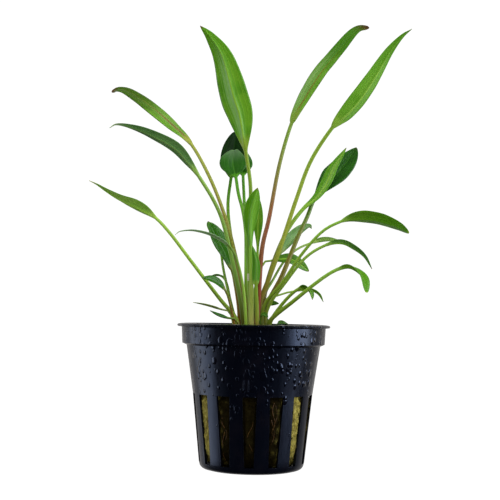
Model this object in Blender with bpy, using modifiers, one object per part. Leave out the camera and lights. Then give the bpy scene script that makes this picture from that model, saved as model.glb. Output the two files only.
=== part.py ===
"""Potted cryptocoryne: a young aquarium plant in a net pot filled with mineral wool.

Made in metres with +Z up. The origin is the middle of the pot's base, on the surface
that it stands on. The plant is seen from -Y, with +X to the right. The driving
dimensions below are in millimetres.
"""

import math
from typing import NamedTuple

import bmesh
import bpy
from mathutils import Matrix, Vector

MM = 0.001
COLLECTION_NAME = "potted_cryptocoryne"
CUTTER_COLLECTION_NAME = "cutters"
MERGE_DISTANCE = 0.00002
FULL_TURN_DEG = 360.0

# Net pot, a common 5 cm size
POT_HEIGHT = 52.0
LIP_RADIUS = 27.8
LIP_INNER_RADIUS = 24.9
LIP_ROUND = 0.4
LIP_CORNER_DROP = 0.25
LIP_EDGE_DROP = 0.7
LIP_UNDERSIDE_DROP = 1.15
LIP_INNER_DROP = 0.5
COLLAR_RADIUS = 26.1
COLLAR_TOP = 50.7
COLLAR_BOTTOM = 44.9
COLLAR_TAPER = 0.3
WALL_TOP = 44.2
WALL_TOP_RADIUS = 24.2
WAIST = 27.0
WAIST_RADIUS = 21.6
WALL_FOOT = 2.8
WALL_FOOT_RADIUS = 19.0
HEEL_RADIUS = 2.0
HEEL_HEIGHT = 2.2
HEEL_FIRST_DEG = -20.0
HEEL_LAST_DEG = -67.0
HEEL_STEPS = 2
BASE_EDGE_RADIUS = 16.8
BASE_BEVEL = 0.6
WALL = 1.0
BASE_THICK = 1.3
INNER_BASE_INSET = 0.8
INNER_FOOT_RISE = 1.2
POT_STEPS = 42

# Slots in the pot's wall, which narrow downwards
SLOT_COUNT = 14
SLOT_FIRST_DEG = -92.9
SLOT_TOP = 27.0
SLOT_BOTTOM = 2.6
SLOT_TOP_WIDTH = 5.1
SLOT_BOTTOM_WIDTH = 3.3
SLOT_INNER_RADIUS = 16.3
SLOT_OUTER_RADIUS = 26.0

# Openings in the pot's base
BASE_SLOT_COUNT = 7
BASE_SLOT_INNER = 5.5
BASE_SLOT_OUTER = 13.4
BASE_SLOT_WIDTH = 3.4
BASE_SLOT_REACH = 3.0

# Mineral-wool plug
WOOL_TOP = 48.4
WOOL_SHOULDER = 1.6
WOOL_SHOULDER_DROP = 0.4
WOOL_TOP_RADIUS = 22.8
WOOL_WAIST_RADIUS = 20.1
WOOL_FOOT = 1.6
WOOL_FOOT_RADIUS = 14.2
WOOL_FOOT_ROUND = 2.2
WOOL_FOOT_RISE = 1.3
WOOL_HEEL = 6.2
WOOL_HEEL_RADIUS = 17.9
WOOL_STEPS = 28

# Crown, a low dome that every leaf stands on, in a planting hole in the wool
CROWN_HALF_X = 9.5
CROWN_HALF_Y = 9.5
CROWN_MIDDLE = 43.4
CROWN_TOP = 47.4
CROWN_SEGMENTS = 20
CROWN_RINGS = 8
HOLE_MARGIN = 0.6
HOLE_TOP = 60.0

# Every leaf's path and section
RING_POINTS = 8
STALK_STEP = 9.0
BLADE_STEP = 4.6
FEWEST_BLADE_STEPS = 5
MOST_BLADE_STEPS = 9
STATION_POWER = 1.2
PATH_SAMPLES = 12
LEAN_POWER = 1.7
FOOT_LIFT = 0.9
FOOT_SWELL = 1.25
SWELL_FADE = 2.5
NECK_THINNING = 0.85
TIP_HALF_WIDTH = 0.16
TIP_HALF_THICK = 0.10
BLADE_HALF_THICK = 0.22
NECK_FADE = 4.0
FLATTEN_BY = 0.22

# Colours, linear
BLACK_PLASTIC = (0.012, 0.014, 0.030)
WOOL_OLIVE = (0.17, 0.15, 0.035)
CROWN_OLIVE = (0.16, 0.14, 0.05)
BRIGHT = (0.16, 0.38, 0.045)
FRESH = (0.12, 0.30, 0.040)
DEEP = (0.030, 0.110, 0.022)
BLUISH = (0.075, 0.200, 0.085)
OLIVE = (0.14, 0.18, 0.045)


class Leaf(NamedTuple):
    """One leaf, with its stalk and its blade.

    foot is the (x, y) where its stalk leaves the crown. stalk holds the (x, z) points
    that the stalk passes through, and blade those of the midrib, from the blade's start
    to its tip. lean is how far back the tip lies behind the foot, and a negative lean
    brings it forward. face is the way the blade's upper side looks at its start, and
    tip_face at its tip.
    """

    name: str
    colour: tuple
    foot: tuple
    lean: float
    stalk: tuple
    blade: tuple
    half_width: float
    face: tuple
    tip_face: tuple = ()
    widest: float = 0.42
    base_power: float = 1.2
    tip_power: float = 0.8
    fold_deg: float = 16.0
    stalk_radius: float = 0.60
    lean_power: float = LEAN_POWER


TALL_LEAVES = (
    Leaf("tall_left", FRESH, (-1.2, -0.9), -14.0,
         ((-1.5, 60.5), (-2.5, 84.0), (-2.0, 100.5)),
         ((-4.0, 114.0), (-6.0, 126.0), (-8.5, 133.5), (-12.5, 146.5), (-17.0, 153.5),
          (-21.0, 157.5)),
         5.2, (0.25, 0.95, 0.10), widest=0.40, stalk_radius=0.78),
    Leaf("tall_right", FRESH, (0.9, -2.4), 26.0,
         ((1.5, 60.5), (2.5, 79.0), (5.0, 91.0), (8.5, 111.0)),
         ((13.0, 127.5), (17.5, 137.0), (23.5, 147.5), (31.0, 157.0), (38.0, 166.0), (43.0, 168.5)),
         4.3, (-0.55, -0.70, 0.45), widest=0.35, base_power=0.9, tip_power=0.35,
         stalk_radius=0.86),
    Leaf("far_right", BRIGHT, (1.8, 0.5), -18.0,
         ((2.0, 59.0), (5.0, 68.0), (9.5, 81.0), (14.5, 97.0), (19.5, 111.0)),
         ((27.0, 123.0), (32.5, 128.5), (37.5, 134.5), (42.0, 142.0), (46.5, 149.5),
          (50.5, 154.5), (54.0, 157.0)),
         4.2, (-0.55, 0.70, 0.45), widest=0.36, base_power=1.0, tip_power=1.0,
         stalk_radius=0.82),
    Leaf("upper_left", FRESH, (-2.9, 0.9), 28.0,
         ((-3.5, 60.5), (-7.0, 76.0), (-11.0, 90.5), (-17.0, 105.5)),
         ((-25.0, 119.0), (-33.0, 127.5), (-41.5, 135.0), (-50.0, 141.0), (-54.5, 143.0),
          (-58.0, 142.5)),
         4.2, (0.45, -0.65, 0.60), widest=0.48, base_power=1.0, tip_power=0.6,
         stalk_radius=0.78),
    Leaf("twisted_left", BLUISH, (-3.2, -2.4), -26.0,
         ((-5.0, 60.5), (-8.0, 74.0), (-11.5, 87.5), (-15.0, 95.5)),
         ((-20.5, 104.5), (-23.5, 109.0), (-28.5, 113.5), (-36.0, 117.0), (-42.5, 119.0),
          (-48.0, 119.5), (-50.5, 118.0)),
         2.8, (0.30, 0.85, 0.45), tip_face=(0.35, 0.45, 0.85), widest=0.36,
         stalk_radius=0.85),
    Leaf("long_left", BRIGHT, (-5.4, -3.6), -28.0,
         ((-6.5, 54.0), (-12.5, 60.5), (-23.5, 74.5), (-30.0, 83.0)),
         ((-35.0, 88.5), (-41.0, 92.0), (-47.0, 94.5), (-51.5, 97.0), (-54.0, 98.5), (-56.5, 99.5)),
         3.6, (0.35, 0.75, 0.60), tip_face=(0.40, -0.30, 0.85), widest=0.38,
         tip_power=1.2, stalk_radius=0.66),
)

MIDDLE_LEAVES = (
    Leaf("dark_back", DEEP, (-3.0, 3.8), 24.0,
         ((-5.0, 64.5), (-9.0, 84.0), (-10.5, 96.5)),
         ((-10.0, 107.5), (-10.0, 115.0), (-8.5, 127.0)),
         5.0, (0.05, -0.90, 0.45), stalk_radius=0.85),
    Leaf("dark_folded", DEEP, (-0.3, 2.6), 13.0,
         ((-1.5, 64.5), (-4.0, 89.5), (-6.5, 100.0)),
         ((-7.5, 106.5), (-8.5, 112.5), (-8.0, 117.5), (-7.5, 117.0)),
         4.9, (0.0, -1.0, 0.2), tip_face=(0.0, 0.2, 1.0), stalk_radius=0.82,
         lean_power=4.0),
    Leaf("dark_hidden", DEEP, (-1.9, 6.3), 18.0,
         ((-3.0, 64.5), (-3.5, 85.0), (-4.5, 100.5)),
         ((-5.0, 108.5), (-5.0, 113.5), (-4.5, 119.0)),
         2.2, (-0.30, -0.90, 0.30), stalk_radius=0.82),
    Leaf("front_upright", BRIGHT, (-0.8, -4.7), -6.0,
         ((-1.0, 60.5),),
         ((-1.5, 77.5), (-2.0, 86.5), (-1.5, 92.5), (0.5, 100.5)),
         2.7, (0.10, 0.97, 0.20), widest=0.65, base_power=1.0, stalk_radius=0.85),
    Leaf("front_spear", BRIGHT, (1.4, -6.6), -2.0,
         ((1.0, 57.5),),
         ((0.5, 66.0), (0.5, 73.5), (-1.0, 80.0)),
         1.4, (0.0, 0.95, 0.2), base_power=0.8, stalk_radius=0.75),
    Leaf("behind_front", FRESH, (2.0, 3.0), 3.0,
         ((1.0, 63.5),),
         ((1.0, 78.0), (1.0, 88.5), (1.0, 99.0)),
         1.9, (-0.3, -0.9, 0.1), widest=0.6),
)

RIGHT_LEAVES = (
    Leaf("right_light", BRIGHT, (3.4, 5.2), 14.0,
         ((3.5, 61.0), (7.0, 75.0), (12.0, 87.0)),
         ((18.0, 95.5), (23.0, 100.0), (26.5, 105.5), (29.5, 112.0), (34.5, 120.0)),
         2.7, (-0.50, -0.65, 0.50), widest=0.5, base_power=1.0, stalk_radius=0.85),
    Leaf("right_dark", DEEP, (4.2, 1.4), 30.0,
         ((4.5, 58.0), (10.0, 69.5), (15.5, 83.5), (19.5, 92.5)),
         ((22.5, 100.0), (28.5, 107.5), (34.0, 114.0), (39.5, 122.0)),
         5.2, (-0.35, -0.85, 0.30), widest=0.5, tip_power=0.7, stalk_radius=0.88),
    Leaf("right_level", BRIGHT, (2.7, -4.2), -24.0,
         ((3.5, 58.5), (10.0, 67.0), (16.5, 77.0), (23.5, 85.0)),
         ((30.0, 88.5), (34.5, 89.5), (41.0, 89.0), (48.0, 86.5), (52.0, 84.0)),
         3.4, (0.0, 0.6, 0.8), widest=0.45, base_power=1.0, tip_power=0.6),
    Leaf("right_arch_front", FRESH, (3.5, -1.4), -14.0,
         ((5.0, 58.0), (11.0, 67.0), (18.0, 76.0)),
         ((25.0, 80.5), (30.5, 81.5), (35.0, 79.5), (38.5, 76.5), (41.0, 72.0)),
         2.1, (0.10, 0.50, 0.85)),
    Leaf("right_arch_back", OLIVE, (3.6, 7.4), 24.0,
         ((3.5, 61.0), (7.0, 68.5), (11.0, 75.5), (16.0, 80.5)),
         ((22.5, 83.5), (29.0, 85.0), (36.0, 84.0)),
         2.2, (0.0, -0.50, 0.85), stalk_radius=0.50),
    Leaf("right_short", FRESH, (0.4, 4.8), 9.0,
         ((0.0, 63.5), (3.0, 74.0)),
         ((6.0, 75.5), (12.5, 76.5), (16.5, 75.0), (20.5, 72.0)),
         1.7, (0.0, -0.7, 0.7), stalk_radius=0.45),
    Leaf("right_curled", BLUISH, (1.4, 6.1), 20.0,
         ((3.0, 62.0), (7.5, 74.0)),
         ((10.0, 79.0), (13.5, 84.0), (17.5, 88.0), (21.0, 90.0), (22.0, 89.0)),
         3.0, (-0.50, 0.70, 0.50), stalk_radius=0.50),
    Leaf("low_right_arch", BRIGHT, (4.9, -5.9), -24.0,
         ((5.5, 53.0), (14.0, 60.5), (23.0, 68.0)),
         ((28.5, 71.5), (33.0, 72.5), (37.0, 69.0), (37.5, 63.5)),
         1.9, (0.0, 0.4, 0.9), stalk_radius=0.80),
    Leaf("small_right_front", FRESH, (5.4, -3.0), -9.0,
         ((6.0, 53.0), (11.0, 60.5)),
         ((16.0, 65.0), (19.5, 64.5), (20.5, 61.0)),
         1.3, (0.2, 0.4, 0.9), stalk_radius=0.72),
    Leaf("small_right_back", FRESH, (5.6, 3.1), 9.0,
         ((4.5, 59.5), (10.0, 63.0)),
         ((16.0, 64.5), (20.5, 65.0), (24.0, 63.5), (26.0, 60.5)),
         1.0, (0.1, 0.4, 0.9), stalk_radius=0.40),
    Leaf("bud_right", DEEP, (6.4, 0.5), -1.5,
         ((4.0, 57.5),),
         ((5.0, 59.0), (6.5, 59.5), (9.0, 59.5)),
         1.0, (-0.1, -0.6, 0.8), stalk_radius=0.40),
    Leaf("bud_centre", BLUISH, (3.5, -7.8), -2.0,
         ((2.0, 53.5),),
         ((2.5, 55.0), (3.5, 55.5), (5.0, 54.5)),
         0.9, (0.0, -0.4, 0.9), stalk_radius=0.40),
    Leaf("rim_right", BRIGHT, (7.0, 4.6), 6.0,
         ((7.5, 51.5),),
         ((9.0, 52.5), (11.0, 53.0), (13.0, 52.0)),
         1.0, (0.0, -0.4, 0.9), stalk_radius=0.45),
)

LEFT_LEAVES = (
    Leaf("left_dark", DEEP, (-5.1, 0.6), 2.0,
         ((-5.5, 57.0), (-7.0, 68.5)),
         ((-8.0, 74.0), (-10.5, 79.0), (-14.0, 84.0), (-17.0, 89.0)),
         3.9, (0.5, -0.7, 0.5), widest=0.6, tip_power=0.6, stalk_radius=0.70),
    Leaf("left_pale", FRESH, (-4.9, 2.9), 14.0,
         ((-8.0, 57.5), (-11.5, 71.5)),
         ((-13.0, 80.0), (-15.5, 86.0), (-18.0, 90.5)),
         3.5, (0.6, -0.5, 0.6), widest=0.6, stalk_radius=0.55),
    Leaf("left_ribbon", BLUISH, (-2.5, -6.4), -20.0,
         ((-3.5, 61.0), (-5.5, 71.5)),
         ((-8.5, 78.5), (-14.5, 82.5), (-21.0, 84.0), (-25.5, 83.5), (-27.5, 82.0)),
         1.8, (0.2, 0.1, 1.0), stalk_radius=0.55),
    Leaf("small_left", DEEP, (-5.9, -5.4), -10.0,
         ((-8.5, 58.5),),
         ((-10.5, 64.0), (-14.0, 67.0), (-18.5, 68.0)),
         2.1, (0.2, -0.7, 0.7), stalk_radius=0.45),
    Leaf("wisp_left", FRESH, (-5.4, 5.0), 10.0,
         ((-8.5, 59.5),),
         ((-10.5, 67.5), (-13.5, 70.0), (-18.5, 68.5)),
         0.9, (0.1, 0.1, 1.0), stalk_radius=0.45),
    Leaf("thread_left", OLIVE, (-6.6, -1.2), 6.0,
         ((-8.5, 55.5),),
         ((-11.5, 57.0), (-17.0, 58.5), (-22.5, 59.5)),
         0.9, (0.1, 0.3, 1.0), stalk_radius=0.40),
    Leaf("low_left", DEEP, (-4.2, -7.0), -8.0,
         ((-6.0, 53.0),),
         ((-9.0, 54.0), (-12.5, 55.0), (-15.5, 56.5)),
         1.3, (0.1, -0.5, 0.85), stalk_radius=0.45),
)

LEAVES = TALL_LEAVES + MIDDLE_LEAVES + RIGHT_LEAVES + LEFT_LEAVES


def finish(name, colour, roughness):
    """A plain material with a colour and a roughness of its own."""
    material = bpy.data.materials.new(name)
    material.use_nodes = True
    shader = material.node_tree.nodes["Principled BSDF"]
    shader.inputs["Base Color"].default_value = (*colour, 1.0)
    shader.inputs["Roughness"].default_value = roughness
    shader.inputs["Metallic"].default_value = 0.0
    return material


def add_object(name, shape, collection, material=None):
    """Make an object of a bmesh, in a collection, with its material."""
    mesh = bpy.data.meshes.new(name)
    shape.to_mesh(mesh)
    shape.free()
    thing = bpy.data.objects.new(name, mesh)
    collection.objects.link(thing)
    if material is not None:
        mesh.materials.append(material)
    return thing


def add_cutter(name, shape, collection):
    """Make a hidden cutter object of a bmesh."""
    cutter = add_object(name, shape, collection)
    cutter.hide_render = True
    cutter.display_type = "WIRE"
    return cutter


def cut(thing, cutter):
    """Cut one object out of another."""
    boolean = thing.modifiers.new("cut " + cutter.name, "BOOLEAN")
    boolean.operation = "DIFFERENCE"
    boolean.solver = "EXACT"
    boolean.object = cutter


def turned(name, profile, steps, collection, material):
    """Turn a closed profile of (radius, height) points about the Z axis."""
    shape = bmesh.new()
    points = [shape.verts.new((radius * MM, 0.0, height * MM)) for radius, height in profile]
    for index, point in enumerate(points):
        following = points[(index + 1) % len(points)]
        if point.co.x > 0.0 or following.co.x > 0.0:
            shape.edges.new((point, following))
    thing = add_object(name, shape, collection, material)
    screw = thing.modifiers.new("turn", "SCREW")
    screw.axis = "Z"
    screw.angle = math.radians(FULL_TURN_DEG)
    screw.steps = steps
    screw.render_steps = steps
    screw.use_merge_vertices = True
    screw.merge_threshold = MERGE_DISTANCE
    screw.use_smooth_shade = True
    return thing


def rounded_corner(centre, radius, first_deg, last_deg, steps):
    """Points of an arc in the (radius, height) plane, both ends among them."""
    points = []
    for step in range(steps + 1):
        angle = math.radians(first_deg + (last_deg - first_deg) * step / steps)
        points.append((centre[0] + radius * math.cos(angle), centre[1] + radius * math.sin(angle)))
    return points


def pot_profile():
    """The section of the pot's wall and base, down its outside and back up inside."""
    foot_slope = (WAIST_RADIUS - WALL_FOOT_RADIUS) / (WAIST - WALL_FOOT)
    inner_foot = BASE_THICK + INNER_FOOT_RISE
    outside = [
        (LIP_INNER_RADIUS + LIP_ROUND, POT_HEIGHT),
        (LIP_RADIUS - LIP_ROUND, POT_HEIGHT - LIP_CORNER_DROP),
        (LIP_RADIUS, POT_HEIGHT - LIP_EDGE_DROP),
        (LIP_RADIUS - LIP_ROUND, POT_HEIGHT - LIP_UNDERSIDE_DROP),
        (COLLAR_RADIUS, COLLAR_TOP),
        (COLLAR_RADIUS - COLLAR_TAPER, COLLAR_BOTTOM),
        (WALL_TOP_RADIUS, WALL_TOP),
        (WAIST_RADIUS, WAIST),
        (WALL_FOOT_RADIUS, WALL_FOOT),
    ]
    heel = rounded_corner(
        (BASE_EDGE_RADIUS, HEEL_HEIGHT), HEEL_RADIUS, HEEL_FIRST_DEG, HEEL_LAST_DEG, HEEL_STEPS)
    base = [
        (BASE_EDGE_RADIUS - BASE_BEVEL, 0.0),
        (0.0, 0.0),
        (0.0, BASE_THICK),
    ]
    inside = [
        (BASE_EDGE_RADIUS - INNER_BASE_INSET, BASE_THICK),
        (WALL_FOOT_RADIUS - WALL + foot_slope * (inner_foot - WALL_FOOT), inner_foot),
        (WAIST_RADIUS - WALL, WAIST),
        (WALL_TOP_RADIUS - WALL, WALL_TOP),
        (COLLAR_RADIUS - COLLAR_TAPER - WALL, COLLAR_BOTTOM),
        (LIP_INNER_RADIUS, POT_HEIGHT - LIP_INNER_DROP),
    ]
    return outside + heel + base + inside


def slot_cutters(collection):
    """One wedge for each slot in the wall, wider at its top."""
    shape = bmesh.new()
    depth = SLOT_OUTER_RADIUS - SLOT_INNER_RADIUS
    middle = (SLOT_OUTER_RADIUS + SLOT_INNER_RADIUS) / 2.0
    for index in range(SLOT_COUNT):
        turn = math.radians(SLOT_FIRST_DEG + FULL_TURN_DEG * index / SLOT_COUNT)
        corners = bmesh.ops.create_cube(shape, size=1.0)["verts"]
        for corner in corners:
            top = corner.co.z > 0.0
            width = SLOT_TOP_WIDTH if top else SLOT_BOTTOM_WIDTH
            place = Vector((
                middle + depth * corner.co.x,
                width * corner.co.y,
                SLOT_TOP if top else SLOT_BOTTOM,
            ))
            corner.co = Matrix.Rotation(turn, 3, "Z") @ place * MM
    return add_cutter("slot_cutters", shape, collection)


def base_cutters(collection):
    """One block for each opening in the base."""
    shape = bmesh.new()
    length = BASE_SLOT_OUTER - BASE_SLOT_INNER
    middle = (BASE_SLOT_OUTER + BASE_SLOT_INNER) / 2.0
    for index in range(BASE_SLOT_COUNT):
        turn = math.radians(FULL_TURN_DEG * index / BASE_SLOT_COUNT)
        corners = bmesh.ops.create_cube(shape, size=1.0)["verts"]
        for corner in corners:
            place = Vector((
                middle + length * corner.co.x,
                BASE_SLOT_WIDTH * corner.co.y,
                2.0 * BASE_SLOT_REACH * corner.co.z,
            ))
            corner.co = Matrix.Rotation(turn, 3, "Z") @ place * MM
    return add_cutter("base_cutters", shape, collection)


def make_pot(collection, cutters):
    """The net pot, with its slots and the openings in its base."""
    plastic = finish("net_pot", BLACK_PLASTIC, 0.28)
    pot = turned("net_pot", pot_profile(), POT_STEPS, collection, plastic)
    cut(pot, slot_cutters(cutters))
    cut(pot, base_cutters(cutters))
    return pot


def wool_profile():
    """The section of the wool plug, down its outside from the middle of its top."""
    return [
        (0.0, WOOL_TOP),
        (WOOL_TOP_RADIUS - WOOL_SHOULDER, WOOL_TOP - WOOL_SHOULDER_DROP),
        (WOOL_TOP_RADIUS, WOOL_TOP - WOOL_SHOULDER),
        (WOOL_TOP_RADIUS, WALL_TOP),
        (WOOL_WAIST_RADIUS, WAIST),
        (WOOL_HEEL_RADIUS, WOOL_HEEL),
        (WOOL_FOOT_RADIUS + WOOL_FOOT_ROUND, WOOL_FOOT + WOOL_FOOT_RISE),
        (WOOL_FOOT_RADIUS, WOOL_FOOT),
        (0.0, WOOL_FOOT),
    ]


def dome(grow):
    """The crown's flattened ball, every half size grown by some millimetres."""
    shape = bmesh.new()
    bmesh.ops.create_uvsphere(
        shape, u_segments=CROWN_SEGMENTS, v_segments=CROWN_RINGS, radius=1.0)
    half_height = CROWN_TOP - CROWN_MIDDLE
    for point in shape.verts:
        point.co.x *= (CROWN_HALF_X + grow) * MM
        point.co.y *= (CROWN_HALF_Y + grow) * MM
        point.co.z = (CROWN_MIDDLE + (half_height + grow) * point.co.z) * MM
    return shape


def hole_cutter(collection):
    """The planting hole: the crown's form with room round it, open upwards."""
    shape = dome(HOLE_MARGIN)
    for point in shape.verts:
        if point.co.z > (CROWN_MIDDLE + HOLE_MARGIN / 2.0) * MM:
            point.co.z += (HOLE_TOP - CROWN_TOP) * MM
    return add_cutter("hole_cutter", shape, collection)


def make_wool(collection, cutters):
    """The mineral-wool plug with its planting hole."""
    fibre = finish("mineral_wool", WOOL_OLIVE, 0.95)
    wool = turned("mineral_wool", wool_profile(), WOOL_STEPS, collection, fibre)
    cut(wool, hole_cutter(cutters))
    return wool


def make_crown(collection):
    """The crown in the planting hole."""
    bark = finish("crown", CROWN_OLIVE, 0.7)
    crown = add_object("crown", dome(0.0), collection, bark)
    crown.data.shade_smooth()
    return crown


def foot_height(x, y):
    """How high a stalk's foot stands on the crown at (x, y)."""
    inside = 1.0 - (x / CROWN_HALF_X) ** 2 - (y / CROWN_HALF_Y) ** 2
    return CROWN_MIDDLE + (CROWN_TOP - CROWN_MIDDLE) * math.sqrt(inside) + FOOT_LIFT


def smooth_curve(points):
    """Fine points of a smooth curve that passes through the given ones."""
    ends = [2.0 * points[0] - points[1]] + points + [2.0 * points[-1] - points[-2]]
    fine = []
    for before, start, end, after in zip(ends, ends[1:], ends[2:], ends[3:]):
        for sample in range(PATH_SAMPLES):
            t = sample / PATH_SAMPLES
            fine.append(0.5 * (
                2.0 * start
                + (end - before) * t
                + (2.0 * before - 5.0 * start + 4.0 * end - after) * t ** 2
                + (3.0 * start - before - 3.0 * end + after) * t ** 3
            ))
    fine.append(points[-1])
    return fine


class Path:
    """A fine line that is read by the distance along it."""

    def __init__(self, points):
        self.points = points
        self.reached = [0.0]
        for start, end in zip(points, points[1:]):
            self.reached.append(self.reached[-1] + (end - start).length)
        self.length = self.reached[-1]

    def at(self, distance):
        """The point at a distance along the line."""
        index = 0
        while index < len(self.points) - 2 and self.reached[index + 1] < distance:
            index += 1
        span = self.reached[index + 1] - self.reached[index]
        share = (distance - self.reached[index]) / span
        return self.points[index].lerp(self.points[index + 1], min(max(share, 0.0), 1.0))

    def direction(self, distance):
        """The way the line runs at a distance along it."""
        reach = self.length / len(self.points)
        before = self.at(max(distance - reach, 0.0))
        after = self.at(min(distance + reach, self.length))
        return (after - before).normalized()


def leaf_path(leaf):
    """The leaf's path from foot to tip, and the distance along it to the blade's start."""
    foot_x, foot_y = leaf.foot
    front = [Vector((foot_x, foot_height(foot_x, foot_y)))]
    front += [Vector(point) for point in leaf.stalk + leaf.blade]
    reached = [0.0]
    for start, end in zip(front, front[1:]):
        reached.append(reached[-1] + (end - start).length)
    route = []
    for (x, z), distance in zip(front, reached):
        y = foot_y + leaf.lean * (distance / reached[-1]) ** leaf.lean_power
        route.append(Vector((x, y, z)))
    path = Path(smooth_curve(route))
    blade_start = path.reached[PATH_SAMPLES * (1 + len(leaf.stalk))]
    return path, blade_start


def blade_outline(leaf, u):
    """A blade's width at a share u of its length, 1 where it is widest."""
    power = leaf.base_power if u < leaf.widest else leaf.tip_power
    wave = math.sin(math.pi * u ** (math.log(0.5) / math.log(leaf.widest)))
    return max(wave, 0.0) ** power


def smooth_step(value):
    """Rise smoothly from 0 to 1 while value goes from 0 to 1."""
    value = min(max(value, 0.0), 1.0)
    return value * value * (3.0 - 2.0 * value)


def stalk_size(leaf, share):
    """Half width, half thickness and fold of the stalk at a share of its length."""
    radius = leaf.stalk_radius * (1.0 + (NECK_THINNING - 1.0) * share)
    radius += leaf.stalk_radius * (FOOT_SWELL - 1.0) * (1.0 - share) ** SWELL_FADE
    return radius, radius, 0.0


def blade_size(leaf, u):
    """Half width, half thickness and fold of the blade at a share u of its length."""
    neck = leaf.stalk_radius * NECK_THINNING
    width = leaf.half_width * blade_outline(leaf, u) + neck * (1.0 - u) ** NECK_FADE
    flat = smooth_step(u / FLATTEN_BY)
    thick = neck + (BLADE_HALF_THICK - neck) * flat
    thick += (TIP_HALF_THICK - BLADE_HALF_THICK) * smooth_step(u * 2.0 - 1.0)
    return max(width, TIP_HALF_WIDTH), thick, math.radians(leaf.fold_deg) * flat


def leaf_stations(leaf, path, blade_start):
    """Every station of the leaf: the distance along its path, its share and its sizes."""
    stalk_steps = max(2, round(blade_start / STALK_STEP))
    blade_length = path.length - blade_start
    blade_steps = round(blade_length / BLADE_STEP)
    blade_steps = min(max(blade_steps, FEWEST_BLADE_STEPS), MOST_BLADE_STEPS)
    stations = []
    for step in range(stalk_steps):
        share = step / stalk_steps
        stations.append((blade_start * share, 0.0, stalk_size(leaf, share)))
    for step in range(blade_steps):
        u = math.sin(0.5 * math.pi * step / blade_steps) ** STATION_POWER
        stations.append((blade_start + blade_length * u, u, blade_size(leaf, u)))
    return stations


def ring_places(leaf, path, distance, u, size):
    """The places of one ring of points round the leaf's path."""
    half_width, half_thick, fold = size
    along = path.direction(distance)
    face = Vector(leaf.face).lerp(Vector(leaf.tip_face or leaf.face), u)
    face = (face - along * face.dot(along)).normalized()
    across = along.cross(face)
    centre = path.at(distance)
    places = []
    for index in range(RING_POINTS):
        turn = math.radians(FULL_TURN_DEG * index / RING_POINTS)
        side = half_width * math.cos(turn)
        rise = half_thick * math.sin(turn) + (abs(side) - half_width / 2.0) * math.tan(fold)
        places.append((centre + across * side + face * rise) * MM)
    return places


def make_leaf(leaf, collection):
    """One leaf: a round stalk that widens into a thin, folded blade with a pointed tip."""
    path, blade_start = leaf_path(leaf)
    shape = bmesh.new()
    rings = []
    for distance, u, size in leaf_stations(leaf, path, blade_start):
        places = ring_places(leaf, path, distance, u, size)
        rings.append([shape.verts.new(place) for place in places])
    tip = shape.verts.new(path.at(path.length) * MM)
    shape.faces.new(rings[0])
    for ring, following in zip(rings, rings[1:]):
        for index in range(RING_POINTS):
            shape.faces.new((ring[index], ring[index - 1], following[index - 1], following[index]))
    for index in range(RING_POINTS):
        shape.faces.new((rings[-1][index], rings[-1][index - 1], tip))
    bmesh.ops.recalc_face_normals(shape, faces=shape.faces)
    thing = add_object(leaf.name, shape, collection, finish(leaf.name, leaf.colour, 0.42))
    thing.data.shade_smooth()
    return thing


def clear_scene():
    """Remove every object that the file opened with."""
    for thing in list(bpy.data.objects):
        bpy.data.objects.remove(thing)


def new_collection(name):
    """A new collection in the scene."""
    collection = bpy.data.collections.new(name)
    bpy.context.scene.collection.children.link(collection)
    return collection


def main():
    """Build the plant and its pot."""
    clear_scene()
    collection = new_collection(COLLECTION_NAME)
    cutters = new_collection(CUTTER_COLLECTION_NAME)
    make_pot(collection, cutters)
    make_wool(collection, cutters)
    make_crown(collection)
    for leaf in LEAVES:
        make_leaf(leaf, collection)


main()
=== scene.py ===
"""Potted cryptocoryne: the finished looks of a young aquarium plant in a black net pot.

The scene is in metres with +Z up, and its origin is the middle of the pot's base. The classes
hold their sizes in millimetres. The plant is seen from -Y, with +X to the right.
"""

import logging
import math
import random
from dataclasses import dataclass, field, replace
from enum import Enum
from typing import Any, Optional, Sequence, Union

import bmesh
import bpy
import numpy as np
from mathutils import Matrix, Vector, noise


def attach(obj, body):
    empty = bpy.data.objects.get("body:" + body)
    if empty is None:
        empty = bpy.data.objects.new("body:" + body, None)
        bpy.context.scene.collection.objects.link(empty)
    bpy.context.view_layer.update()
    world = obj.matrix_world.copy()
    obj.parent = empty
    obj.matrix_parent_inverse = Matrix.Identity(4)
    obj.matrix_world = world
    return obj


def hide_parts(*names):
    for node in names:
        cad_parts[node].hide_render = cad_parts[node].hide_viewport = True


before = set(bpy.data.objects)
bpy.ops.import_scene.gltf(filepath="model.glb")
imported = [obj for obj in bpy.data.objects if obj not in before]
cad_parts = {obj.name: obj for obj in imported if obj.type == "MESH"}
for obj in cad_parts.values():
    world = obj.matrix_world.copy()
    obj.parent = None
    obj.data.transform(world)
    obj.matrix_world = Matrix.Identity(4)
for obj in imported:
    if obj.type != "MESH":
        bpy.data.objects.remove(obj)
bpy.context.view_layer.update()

Colour = tuple[float, float, float]
Point = tuple[float, float]
Place = tuple[float, float, float]
Faces = list[tuple[int, ...]]
Array = np.ndarray
Numbers = Union[float, Array]

MM = 0.001
BODY = "root"
FULL_TURN_DEG = 360.0
FULL_TURN = 2.0 * math.pi

log = logging.getLogger("potted_cryptocoryne")


class Slot(Enum):
    """The material slots."""

    POT_PLASTIC = "pot_plastic"
    WOOL = "wool"
    CROWN = "crown"
    FRESH = "leaf_fresh"
    BRIGHT = "leaf_bright"
    DEEP = "leaf_deep"
    BLUISH = "leaf_bluish"
    OLIVE = "leaf_olive"


def srgb(red: int, green: int, blue: int) -> Colour:
    """Turn a screen's colour into the linear one that a shader takes.

    Args:
        red: Red from 0 to 255.
        green: Green from 0 to 255.
        blue: Blue from 0 to 255.

    Returns:
        The linear colour.
    """
    linear = []
    for part in (red, green, blue):
        share = part / 255.0
        linear.append(share / 12.92 if share <= 0.04045 else ((share + 0.055) / 1.055) ** 2.4)
    return (linear[0], linear[1], linear[2])


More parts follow.
